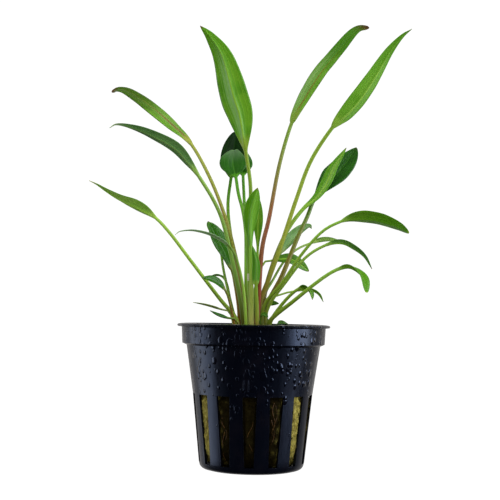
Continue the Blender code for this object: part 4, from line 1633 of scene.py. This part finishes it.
@dataclass
class WoolPlug:
    """The mineral-wool plug with its planting hole, its fibres and the fine roots on it.

    The table of each slot's darkening says how damp the wool is behind each of the pot's slots,
    with painted shade added behind the front slots, which the side lights reach least.
    """

    # tufts: their scale, height, and fractal's roughness, lacunarity and octaves; then broad swells
    TUFT_SCALE = 0.55
    TUFT_HEIGHT = 0.42
    TUFT_FRACTAL = (0.8, 2.1, 4)
    SWELL_SCALE = 0.16
    SWELL_HEIGHT = 0.3
    TUFT_SINK = 0.12
    TUFT_RANGE = (-0.9, 0.32)
    SMOOTH_MIDDLE = 3.0
    SECTION_STEP = 0.5
    # the swellings into the slots: where they start, and how much further on they are full
    BULGE_SIDE = (0.15, 0.8)
    BULGE_FOOT = (5.0, 3.0)
    BULGE_TOP = (0.4, 2.0)
    # fibres: points to a fibre, thickness, and how it narrows
    FIBRE_SEED = 41
    FIBRE_STEPS = 6
    FIBRE_SIDES = 3
    FIBRE_RADII = (0.03, 0.065)
    FIBRE_TAPER = (0.6, 1.0, 1.0, 1.0, 0.9, 0.5)
    FIBRE_TURN = 0.35
    TOP_STRIDE = 0.8
    NEARLY_UP = (0.05, 0.02, 1.0)
    ROOT_SEED = 7
    ROOT_STEPS = 26
    ROOT_SIDES = 8
    ROOT_RADII = (0.08, 0.14)

    pot: NetPot
    top: float = 48.4
    shoulder: float = 1.6
    shoulder_drop: float = 0.4
    top_radius: float = 22.8
    waist: float = 27.0
    waist_radius: float = 20.1
    wall_top: float = 44.2
    heel: float = 6.2
    heel_radius: float = 17.9
    foot: float = 1.6
    foot_radius: float = 14.2
    foot_bevel: Point = (2.2, 1.3)
    ridge_radius: float = 15.0
    hole_radius: float = 8.6
    hole_edge: Point = (1.6, 0.3)
    hole_floor: float = 42.6
    hole_floor_radius: float = 5.0
    hole_floor_rise: float = 0.4
    axis_radius: float = 0.6
    columns: int = 392
    fibre_count: int = 4200
    side_share: float = 0.72
    root_count: int = 8
    # each slot's darkness: the wool's dampness, with painted shade on the front slots
    wetness_and_shade: Sequence[float] = (
        1.00, 0.82, 0.12, 0.85, 0.35, 0.65, 0.40, 0.75, 0.30, 0.55, 0.60, 0.90, 0.00, 0.92)
    bulge: float = 1.05
    finish: WoolFinish = WoolFinish()

    def section(self) -> list[Place]:
        """Give the plug's section, from inside its hole to the middle of its foot.

        Returns:
            The section's points, as radius, 0 and height.
        """
        edge_out, edge_drop = self.hole_edge
        knots = [(self.axis_radius, self.hole_floor),
                 (self.hole_floor_radius, self.hole_floor + self.hole_floor_rise),
                 (self.hole_radius, self.top - edge_out),
                 (self.hole_radius + edge_out, self.top - edge_drop),
                 (self.ridge_radius, self.top),
                 (self.top_radius - self.shoulder, self.top - self.shoulder_drop),
                 (self.top_radius, self.top - self.shoulder), (self.top_radius, self.wall_top),
                 (self.waist_radius, self.waist), (self.heel_radius, self.heel),
                 (self.foot_radius + self.foot_bevel[0], self.foot + self.foot_bevel[1]),
                 (self.foot_radius, self.foot), (self.axis_radius, self.foot)]
        fine = []
        for (radius, height), (next_radius, next_height) in zip(knots, knots[1:]):
            length = math.dist((radius, height), (next_radius, next_height))
            steps = max(2, round(length / self.SECTION_STEP))
            fine += [(radius + (next_radius - radius) * step / steps, 0.0,
                      height + (next_height - height) * step / steps) for step in range(steps)]
        fine.append((self.axis_radius, 0.0, self.foot))
        return fine

    def build(self) -> Skin:
        """Model the plug as a turned form with a tufted surface.

        Returns:
            The plug's skin.
        """
        section = np.array(self.section())
        slopes = unit(np.gradient(section, axis=0))
        outward = np.column_stack((-slopes[:, 2], np.zeros(len(section)), slopes[:, 0]))
        turn = FULL_TURN * np.arange(self.columns) / self.columns
        lowest, highest = self.TUFT_RANGE
        places = []
        for (radius, _, height), (out_r, _, out_z) in zip(section, outward):
            for angle in turn:
                spot = Vector((radius * math.cos(angle), radius * math.sin(angle), height))
                tuft = noise.fractal(spot * self.TUFT_SCALE, *self.TUFT_FRACTAL) * self.TUFT_HEIGHT
                tuft += noise.noise(spot * self.SWELL_SCALE) * self.SWELL_HEIGHT
                tuft = min(max(tuft - self.TUFT_SINK, lowest), highest)
                tuft *= min(1.0, radius / self.SMOOTH_MIDDLE)
                if radius > self.foot_radius:
                    tuft += float(self.bulge_at(np.array(angle), np.array(height)))
                places.append(((radius + out_r * tuft) * math.cos(angle),
                               (radius + out_r * tuft) * math.sin(angle), height + out_z * tuft))
        last = (len(section) - 1) * self.columns
        faces = [tuple(reversed(range(self.columns)))]
        faces += band(0, self.columns, len(section))
        faces.append(tuple(range(last, last + self.columns)))
        spots = np.array(places)
        return Skin(spots, faces, {"wet": self.wet_and_shade_at(spots)})

    def wet_and_shade_at(self, places: Array) -> Array:
        """Say how dark the wool is made, from its dampness and the painted shade behind each slot.

        Args:
            places: The places, one a row.

        Returns:
            How damp and how shaded they are painted, from 0 to 1.
        """
        turn = np.degrees(np.arctan2(places[:, 1], places[:, 0])) - self.pot.first_slot_deg
        slot = np.mod(turn, FULL_TURN_DEG) * len(self.wetness_and_shade) / FULL_TURN_DEG
        return np.interp(slot, np.arange(len(self.wetness_and_shade) + 1), (*self.wetness_and_shade, self.wetness_and_shade[0]))

    def bulge_at(self, angle: Array, height: Array) -> Array:
        """Say how far the wool swells into the pot's slots.

        Args:
            angle: The angles round the pot's axis.
            height: The heights.

        Returns:
            How far it stands out there.
        """
        pitch = FULL_TURN / self.pot.slots
        turn = angle - math.radians(self.pot.first_slot_deg)
        aside = np.abs(np.mod(turn + 0.5 * pitch, pitch) - 0.5 * pitch) * self.radius_at(height)
        side, side_on = self.BULGE_SIDE
        low, low_on = self.BULGE_FOOT
        top, top_on = self.BULGE_TOP
        middle = smooth_step((0.5 * self.pot.slot_width(height) - side - aside) / side_on)
        foot = smooth_step((height - low) / low_on)
        return self.bulge * middle * (foot * smooth_step((self.pot.waist - top - height) / top_on))

    def radius_at(self, height: Array) -> Array:
        """Give the radius of the plug's side.

        Args:
            height: The heights.

        Returns:
            The radii there.
        """
        bevel_out, bevel_up = self.foot_bevel
        heights = (self.foot, self.foot + bevel_up, self.heel, self.waist, self.wall_top, self.top)
        radii = (self.foot_radius, self.foot_radius + bevel_out, self.heel_radius,
                 self.waist_radius, self.top_radius, self.top_radius)
        return np.interp(height, heights, radii)

    def side_lines(self, draw: np.random.Generator, count: int) -> Array:
        """Draw the lines of the fibres behind the pot's slots.

        Args:
            draw: Where the random numbers come from.
            count: The number of fibres.

        Returns:
            The lines, as fibres x points x 3.
        """
        slot = draw.integers(0, self.pot.slots, count)
        angle = math.radians(self.pot.first_slot_deg) + slot * (FULL_TURN / self.pot.slots)
        angle = angle + draw.uniform(-0.15, 0.15, count)
        height = draw.uniform(3.0, 27.5, count)
        heading = draw.normal(0.0, 0.9, count)
        bend = draw.normal(0.0, self.FIBRE_TURN, count)
        stride = draw.uniform(0.45, 1.0, count)
        lift = draw.uniform(0.0, 0.42, count)
        lines = np.zeros((count, self.FIBRE_STEPS, 3))
        for step in range(self.FIBRE_STEPS):
            arch = math.sin(math.pi * (step + 0.4) / self.FIBRE_STEPS)
            radius = self.radius_at(height) + self.bulge_at(angle, height)
            radius = radius + (lift - 0.1) * arch
            lines[:, step] = turned(radius, angle, height)
            angle = angle + stride * np.cos(heading) / radius
            height = np.clip(height + stride * np.sin(heading), 2.4, 28.5)
            heading = heading + bend
        return lines

    def top_lines(self, draw: np.random.Generator, count: int) -> Array:
        """Draw the lines of the fibres on top of the plug.

        Args:
            draw: Where the random numbers come from.
            count: The number of fibres.

        Returns:
            The lines, as fibres x points x 3.
        """
        reach = draw.uniform(self.hole_radius - 0.6, self.top_radius - 1.2, count)
        angle = draw.uniform(0.0, FULL_TURN, count)
        heading = draw.uniform(0.0, FULL_TURN, count)
        bend = draw.normal(0.0, self.FIBRE_TURN, count)
        lift = draw.uniform(0.1, 0.5, count)
        x = reach * np.cos(angle)
        y = reach * np.sin(angle)
        lines = np.zeros((count, self.FIBRE_STEPS, 3))
        for step in range(self.FIBRE_STEPS):
            arch = math.sin(math.pi * (step + 0.4) / self.FIBRE_STEPS)
            edge = smooth_step((np.hypot(x, y) - self.hole_radius) / 2.0)
            height = self.top - 1.3 + 1.15 * edge + lift * arch
            lines[:, step] = np.column_stack((x, y, height))
            x = x + self.TOP_STRIDE * np.cos(heading)
            y = y + self.TOP_STRIDE * np.sin(heading)
            keep = np.minimum(1.0, (self.top_radius - 0.6) / np.maximum(np.hypot(x, y), 1e-6))
            x = x * keep
            y = y * keep
            heading = heading + bend
        return lines

    def fibres(self) -> Skin:
        """Model the loose fibres, most of them behind the pot's slots and the rest on top.

        Returns:
            One skin of all the fibres.
        """
        draw = np.random.default_rng(self.FIBRE_SEED)
        on_side = int(self.fibre_count * self.side_share)
        side = self.side_lines(draw, on_side)
        top = self.top_lines(draw, self.fibre_count - on_side)
        lines = np.concatenate((side, top))
        upward = np.tile(self.NEARLY_UP, (len(top), self.FIBRE_STEPS, 1))
        outward = np.concatenate((unit(side * (1.0, 1.0, 0.0)), upward))
        radii = draw.uniform(*self.FIBRE_RADII, (len(lines), 1)) * np.array(self.FIBRE_TAPER)
        skin = tubes(lines, radii, outward, self.FIBRE_SIDES)
        tone = draw.uniform(0.0, 1.0, len(lines))
        skin.values["tone"] = np.repeat(tone, self.FIBRE_STEPS * self.FIBRE_SIDES)
        skin.values["wet"] = self.wet_and_shade_at(skin.places)
        return skin

    def roots(self) -> Skin:
        """Model the fine brown roots that run down over the plug behind the slots.

        Returns:
            One skin of all the roots.
        """
        draw = np.random.default_rng(self.ROOT_SEED)
        share = np.linspace(0.0, 1.0, self.ROOT_STEPS)
        lines = []
        for root in range(self.root_count):
            slot = 0 if root == 0 else draw.integers(1, self.pot.slots)
            angle = math.radians(self.pot.first_slot_deg + slot * FULL_TURN_DEG / self.pot.slots)
            angle = angle + draw.uniform(-0.05, 0.05)
            sway = draw.uniform(0.02, 0.05)
            sway = sway * np.sin(share * draw.uniform(3.0, 8.0) + draw.uniform(0.0, 6.0))
            height = draw.uniform(15.0, 27.0) - draw.uniform(8.0, 12.0) * share
            radius = self.radius_at(height) + self.bulge_at(angle + sway, height)
            radius = radius + 0.16 * np.sin(share * 11.0 + root)
            lines.append(turned(radius, angle + sway, height))
        routes = np.array(lines)
        radii = draw.uniform(*self.ROOT_RADII, (len(lines), 1)) * (1.0 - 0.6 * share[None] ** 2)
        return tubes(routes, radii, unit(routes * (1.0, 1.0, 0.0)), self.ROOT_SIDES)

    def add(self) -> None:
        """Make the plug, its fibres and the roots."""
        self.build().make("mineral_wool_plug", self.finish.paint("growing_wool", False),
                          Slot.WOOL, ("mineral_wool",))
        self.fibres().make("wool_fibres", self.finish.paint("wool_fibre", True), Slot.WOOL)
        self.roots().make("fine_roots", RootFinish().paint(), Slot.CROWN)


@dataclass(frozen=True)
class RootFinish:
    """Fine roots, dark brown with paler stretches."""

    BARK_MM = 0.05

    brown: Colour = srgb(60, 36, 10)
    pale: Colour = srgb(92, 66, 26)

    def paint(self) -> bpy.types.Material:
        """Make the material.

        Returns:
            The material.
        """
        shader = Shader("fine_root")
        stretches = shader.noise(shader.place(), 0.4)
        colour = shader.blend(self.brown, self.pale, stretches.between(0.5, 0.7) * 0.7)
        normal = shader.bump(shader.noise(shader.place(), 4.0, 2.0), self.BARK_MM)
        rough = 0.45 + stretches * 0.3
        return shader.finish(Base_Color=colour, Roughness=rough, Normal=normal)


@dataclass(frozen=True)
class CrownFinish:
    """The crown's skin, olive brown with paler scars where old leaves stood."""

    LUMP_MM = 0.3

    brown: Colour = srgb(94, 78, 36)
    green: Colour = srgb(118, 132, 58)
    scar: Colour = srgb(150, 128, 84)

    def paint(self) -> bpy.types.Material:
        """Make the material.

        Returns:
            The material.
        """
        shader = Shader("crown_skin")
        spot = shader.place()
        clouds = shader.noise(spot, 0.5, 4.0)
        colour = shader.blend(self.brown, self.green, clouds.between(0.4, 0.65))
        colour = shader.blend(colour, self.scar, shader.attribute("scar") * 0.8)
        normal = shader.bump(clouds + shader.noise(spot, 3.0) * 0.5, self.LUMP_MM)
        rough = 0.5 + clouds * 0.3
        return shader.finish(Base_Color=colour, Roughness=rough, Normal=normal)


@dataclass
class Crown:
    """The crown: a low lumpy dome of rhizome that every leaf stands on."""

    # the collar round a stalk: its radius, how broad it is and how high
    COLLAR_RADIUS = 0.95
    COLLAR_SPREAD = 0.45
    COLLAR_HEIGHT = 0.35
    # the rings of old scars round it: how close they are and how high
    RINGS_TO_MM = 6.0
    RING_HEIGHT = 0.10
    # the lumps: their scale, height, sinking, and fractal's roughness, lacunarity and octaves
    LUMP_SCALE = 0.5
    LUMP_HEIGHT = 0.22
    LUMP_SINK = 0.2
    LUMP_FRACTAL = (0.9, 2.0, 3)

    half_width: float = 9.5
    middle: float = 43.4
    top: float = 47.4
    foot_lift: float = 0.9
    columns: int = 96
    rows: int = 44
    finish: CrownFinish = CrownFinish()

    def foot_height(self, foot: Point) -> float:
        """Give the height at which a stalk's solid starts above the dome."""
        inside = 1.0 - (foot[0] ** 2 + foot[1] ** 2) / self.half_width ** 2
        return self.middle + (self.top - self.middle) * math.sqrt(inside) + self.foot_lift

    def build(self, feet: Sequence[Point]) -> Skin:
        """Model the dome, with a collar round every stalk's foot and rings between them.

        Args:
            feet: Where the stalks stand.

        Returns:
            The dome's skin.
        """
        places = []
        scars = []
        for row in range(1, self.rows):
            polar = math.pi * row / self.rows
            for column in range(self.columns):
                turn = FULL_TURN * column / self.columns
                way = Vector((math.sin(polar) * math.cos(turn), math.sin(polar) * math.sin(turn),
                              math.cos(polar)))
                above = max(way.z, 0.0)
                spot = Vector((way.x * self.half_width, way.y * self.half_width,
                               self.middle + way.z * (self.top - self.middle)))
                near = min(math.hypot(spot.x - x, spot.y - y) for x, y in feet)
                collar = math.exp(-((near - self.COLLAR_RADIUS) / self.COLLAR_SPREAD) ** 2) * above
                ring = math.sin(near * self.RINGS_TO_MM)
                lump = noise.fractal(spot * self.LUMP_SCALE, *self.LUMP_FRACTAL) * self.LUMP_HEIGHT
                lump = lump - self.LUMP_SINK + self.RING_HEIGHT * ring * above
                spot += way * (lump + self.COLLAR_HEIGHT * collar)
                places.append(tuple(spot))
                scars.append(max(0.0, ring) * above)
        places += [(0.0, 0.0, self.top - self.LUMP_SINK),
                   (0.0, 0.0, 2.0 * self.middle - self.top + self.LUMP_SINK)]
        scars += [0.0, 0.0]
        faces = [(a, d, c, b) for a, b, c, d in band(0, self.columns, self.rows - 1)]
        pole = len(places) - 2
        last = (self.rows - 2) * self.columns
        for column in range(self.columns):
            after = (column + 1) % self.columns
            faces.append((pole, column, after))
            faces.append((pole + 1, last + after, last + column))
        return Skin(np.array(places), faces, {"scar": np.array(scars)})

    def add(self, feet: Sequence[Point]) -> bpy.types.Object:
        """Make the crown, with a collar at each of the stalks' feet."""
        return self.build(feet).make("crown_rhizome", self.finish.paint(), Slot.CROWN, ("crown",))


class Plant:
    """The whole plant: its crown and every leaf."""

    def __init__(self) -> None:
        """List the plant's parts."""
        self.crown = Crown()
        self.leaves = LEAVES

    def add(self) -> None:
        """Make the crown and the leaves, which share a material where their finish is the same."""
        paints: dict[LeafFinish, bpy.types.Material] = {}
        self.crown.add([leaf.foot for leaf in self.leaves])
        for leaf in self.leaves:
            if leaf.finish not in paints:
                paints[leaf.finish] = leaf.finish.paint()
            skin = leaf.build(self.crown.foot_height(leaf.foot))
            skin.make(leaf.name + "_leaf", paints[leaf.finish], leaf.slot, (leaf.name,))


@dataclass
class Studio:
    """A plain white studio with broad soft boxes on both sides, and the camera."""

    camera_place: Place = (-1.85, -400.0, 55.65)
    camera_tilt_deg: float = 3.32
    camera_roll_deg: float = 1.0
    lens_pixels: float = 1099.0
    image_pixels: float = 500.0
    sensor: float = 36.0
    middle: Place = (0.0, 0.0, 80.0)
    dome_radius: float = 3000.0
    dome_columns: int = 64
    dome_rows: int = 32
    floor_share: float = 0.98
    floor_drop: float = 0.05
    box_tint: Colour = (0.93, 0.97, 1.0)
    fill_tint: Colour = (1.0, 1.0, 0.97)
    sky_tint: Colour = (1.0, 0.96, 0.92)
    sky: Sequence[tuple[str, float]] = (
        ("From Min", 0.30), ("From Max", 0.95), ("To Min", 0.03), ("To Max", 0.6))
    surround_tone: Colour = (0.02, 0.02, 0.02)
    surround_glow: float = 1.05

    def add(self) -> None:
        """Make the floor, the backdrop, the lights and the camera."""
        self.add_floor()
        self.add_backdrop()
        self.add_world()
        self.add_box("left_box", -98.0, 7.0, 900.0, (0.74, 1.1), 5.4)
        self.add_box("right_box", 80.0, 18.0, 900.0, (0.62, 1.0), 10.5)
        self.add_box("top_fill", -12.0, 62.0, 900.0, (1.0, 0.8), 9.5, glossy=False)
        self.add_box("front_fill", 8.0, 12.0, 1100.0, (0.9, 0.9), 4.8, glossy=False)
        self.add_box("floor_bounce", 10.0, -62.0, 900.0, (1.2, 1.2), 5.5, glossy=False)
        self.add_camera()
        bpy.context.scene.view_settings.view_transform = "Standard"

    def add_floor(self) -> None:
        """Make the pale floor, which the pot's sheen doesn't mirror."""
        mesh = bpy.data.meshes.new("floor")
        reach = self.dome_radius * self.floor_share * MM
        turns = [FULL_TURN * step / self.dome_columns for step in range(self.dome_columns)]
        corners = [(reach * math.cos(turn), reach * math.sin(turn), -self.floor_drop * MM)
                   for turn in turns]
        mesh.from_pydata(corners, [], [tuple(range(self.dome_columns))])
        self.place_surround(mesh, "pale_floor")

    def add_backdrop(self) -> None:
        """Make the white backdrop all round, which is seen but gives no light."""
        mesh = bpy.data.meshes.new("backdrop")
        shape = bmesh.new()
        bmesh.ops.create_uvsphere(shape, u_segments=self.dome_columns, v_segments=self.dome_rows,
                                  radius=self.dome_radius * MM)
        bmesh.ops.reverse_faces(shape, faces=shape.faces)
        shape.to_mesh(mesh)
        shape.free()
        self.place_surround(mesh, "white_backdrop")

    def place_surround(self, mesh: bpy.types.Mesh, name: str) -> None:
        """Set up a plain surface of the studio, which is seen but neither lights nor shades.

        Args:
            mesh: Its mesh.
            name: Its name.
        """
        shader = Shader(name)
        material = shader.finish(
            Base_Color=self.surround_tone, Specular_IOR_Level=0.0, Roughness=1.0,
            Emission_Color=(1.0, 1.0, 1.0), Emission_Strength=self.surround_glow)
        material.cycles.emission_sampling = "NONE"
        mesh.materials.append(material)
        surround = bpy.data.objects.new(name, mesh)
        bpy.context.scene.collection.objects.link(surround)
        surround.visible_diffuse = False
        surround.visible_glossy = False
        surround.visible_transmission = False
        surround.visible_shadow = False

    def add_world(self) -> None:
        """Light the studio: white behind the plant and overhead, dark in front of it."""
        world = bpy.data.worlds.new("studio")
        world.use_nodes = True
        tree = world.node_tree
        background = tree.nodes["Background"]
        spot = tree.nodes.new("ShaderNodeTexCoord")
        parts = tree.nodes.new("ShaderNodeSeparateXYZ")
        glow = tree.nodes.new("ShaderNodeMapRange")
        glow.interpolation_type = "SMOOTHSTEP"
        for name, value in self.sky:
            glow.inputs[name].default_value = value
        tree.links.new(spot.outputs["Generated"], parts.inputs[0])
        tree.links.new(parts.outputs["Y"], glow.inputs["Value"])
        tree.links.new(glow.outputs["Result"], background.inputs["Strength"])
        background.inputs["Color"].default_value = (*self.sky_tint, 1.0)
        bpy.context.scene.world = world

    def add_box(self, name: str, turn_deg: float, height_deg: float, distance: float,
                size: Point, power: float, glossy: bool = True) -> None:
        """Hang a soft box that looks at the plant.

        Args:
            name: The light's name.
            turn_deg: Where it hangs, turned to the right from the camera's side.
            height_deg: How high it hangs above level.
            distance: How far it is in millimetres.
            size: Its width and height in metres.
            power: Its power in watts.
            glossy: Whether sheens mirror it.
        """
        light = bpy.data.lights.new(name, "AREA")
        light.shape = "RECTANGLE"
        light.size, light.size_y = size
        light.energy = power
        light.color = self.box_tint if glossy else self.fill_tint
        box = bpy.data.objects.new(name, light)
        turn = math.radians(turn_deg)
        rise = math.radians(height_deg)
        way = Vector((math.sin(turn) * math.cos(rise), -math.cos(turn) * math.cos(rise),
                      math.sin(rise)))
        box.location = (Vector(self.middle) + way * distance) * MM
        box.rotation_euler = way.to_track_quat("Z", "Y").to_euler()
        box.visible_glossy = glossy
        box.visible_camera = False
        bpy.context.scene.collection.objects.link(box)

    def add_camera(self) -> None:
        """Set up the camera where the photograph was taken."""
        camera = bpy.data.objects.new("camera", bpy.data.cameras.new("camera"))
        camera.data.sensor_width = self.sensor
        camera.data.lens = self.lens_pixels / self.image_pixels * self.sensor
        tilt = math.radians(self.camera_tilt_deg)
        roll = math.radians(self.camera_roll_deg)
        forward = Vector((0.0, math.cos(tilt), math.sin(tilt)))
        up = Vector((0.0, -math.sin(tilt), math.cos(tilt)))
        right = Vector((1.0, 0.0, 0.0))
        rolled_right = right * math.cos(roll) + up * math.sin(roll)
        rolled_up = up * math.cos(roll) - right * math.sin(roll)
        turn = Matrix((rolled_right, rolled_up, -forward)).transposed().to_4x4()
        turn.translation = Vector(self.camera_place) * MM
        camera.matrix_world = turn
        bpy.context.scene.collection.objects.link(camera)
        bpy.context.scene.camera = camera


def main() -> None:
    """Build the pot, the wool, the plant and the studio, in that order."""
    logging.basicConfig(level=logging.INFO)
    pot = NetPot()
    pot.add()
    WoolPlug(pot).add()
    Plant().add()
    Studio().add()


if __name__ == "__main__":
    main()
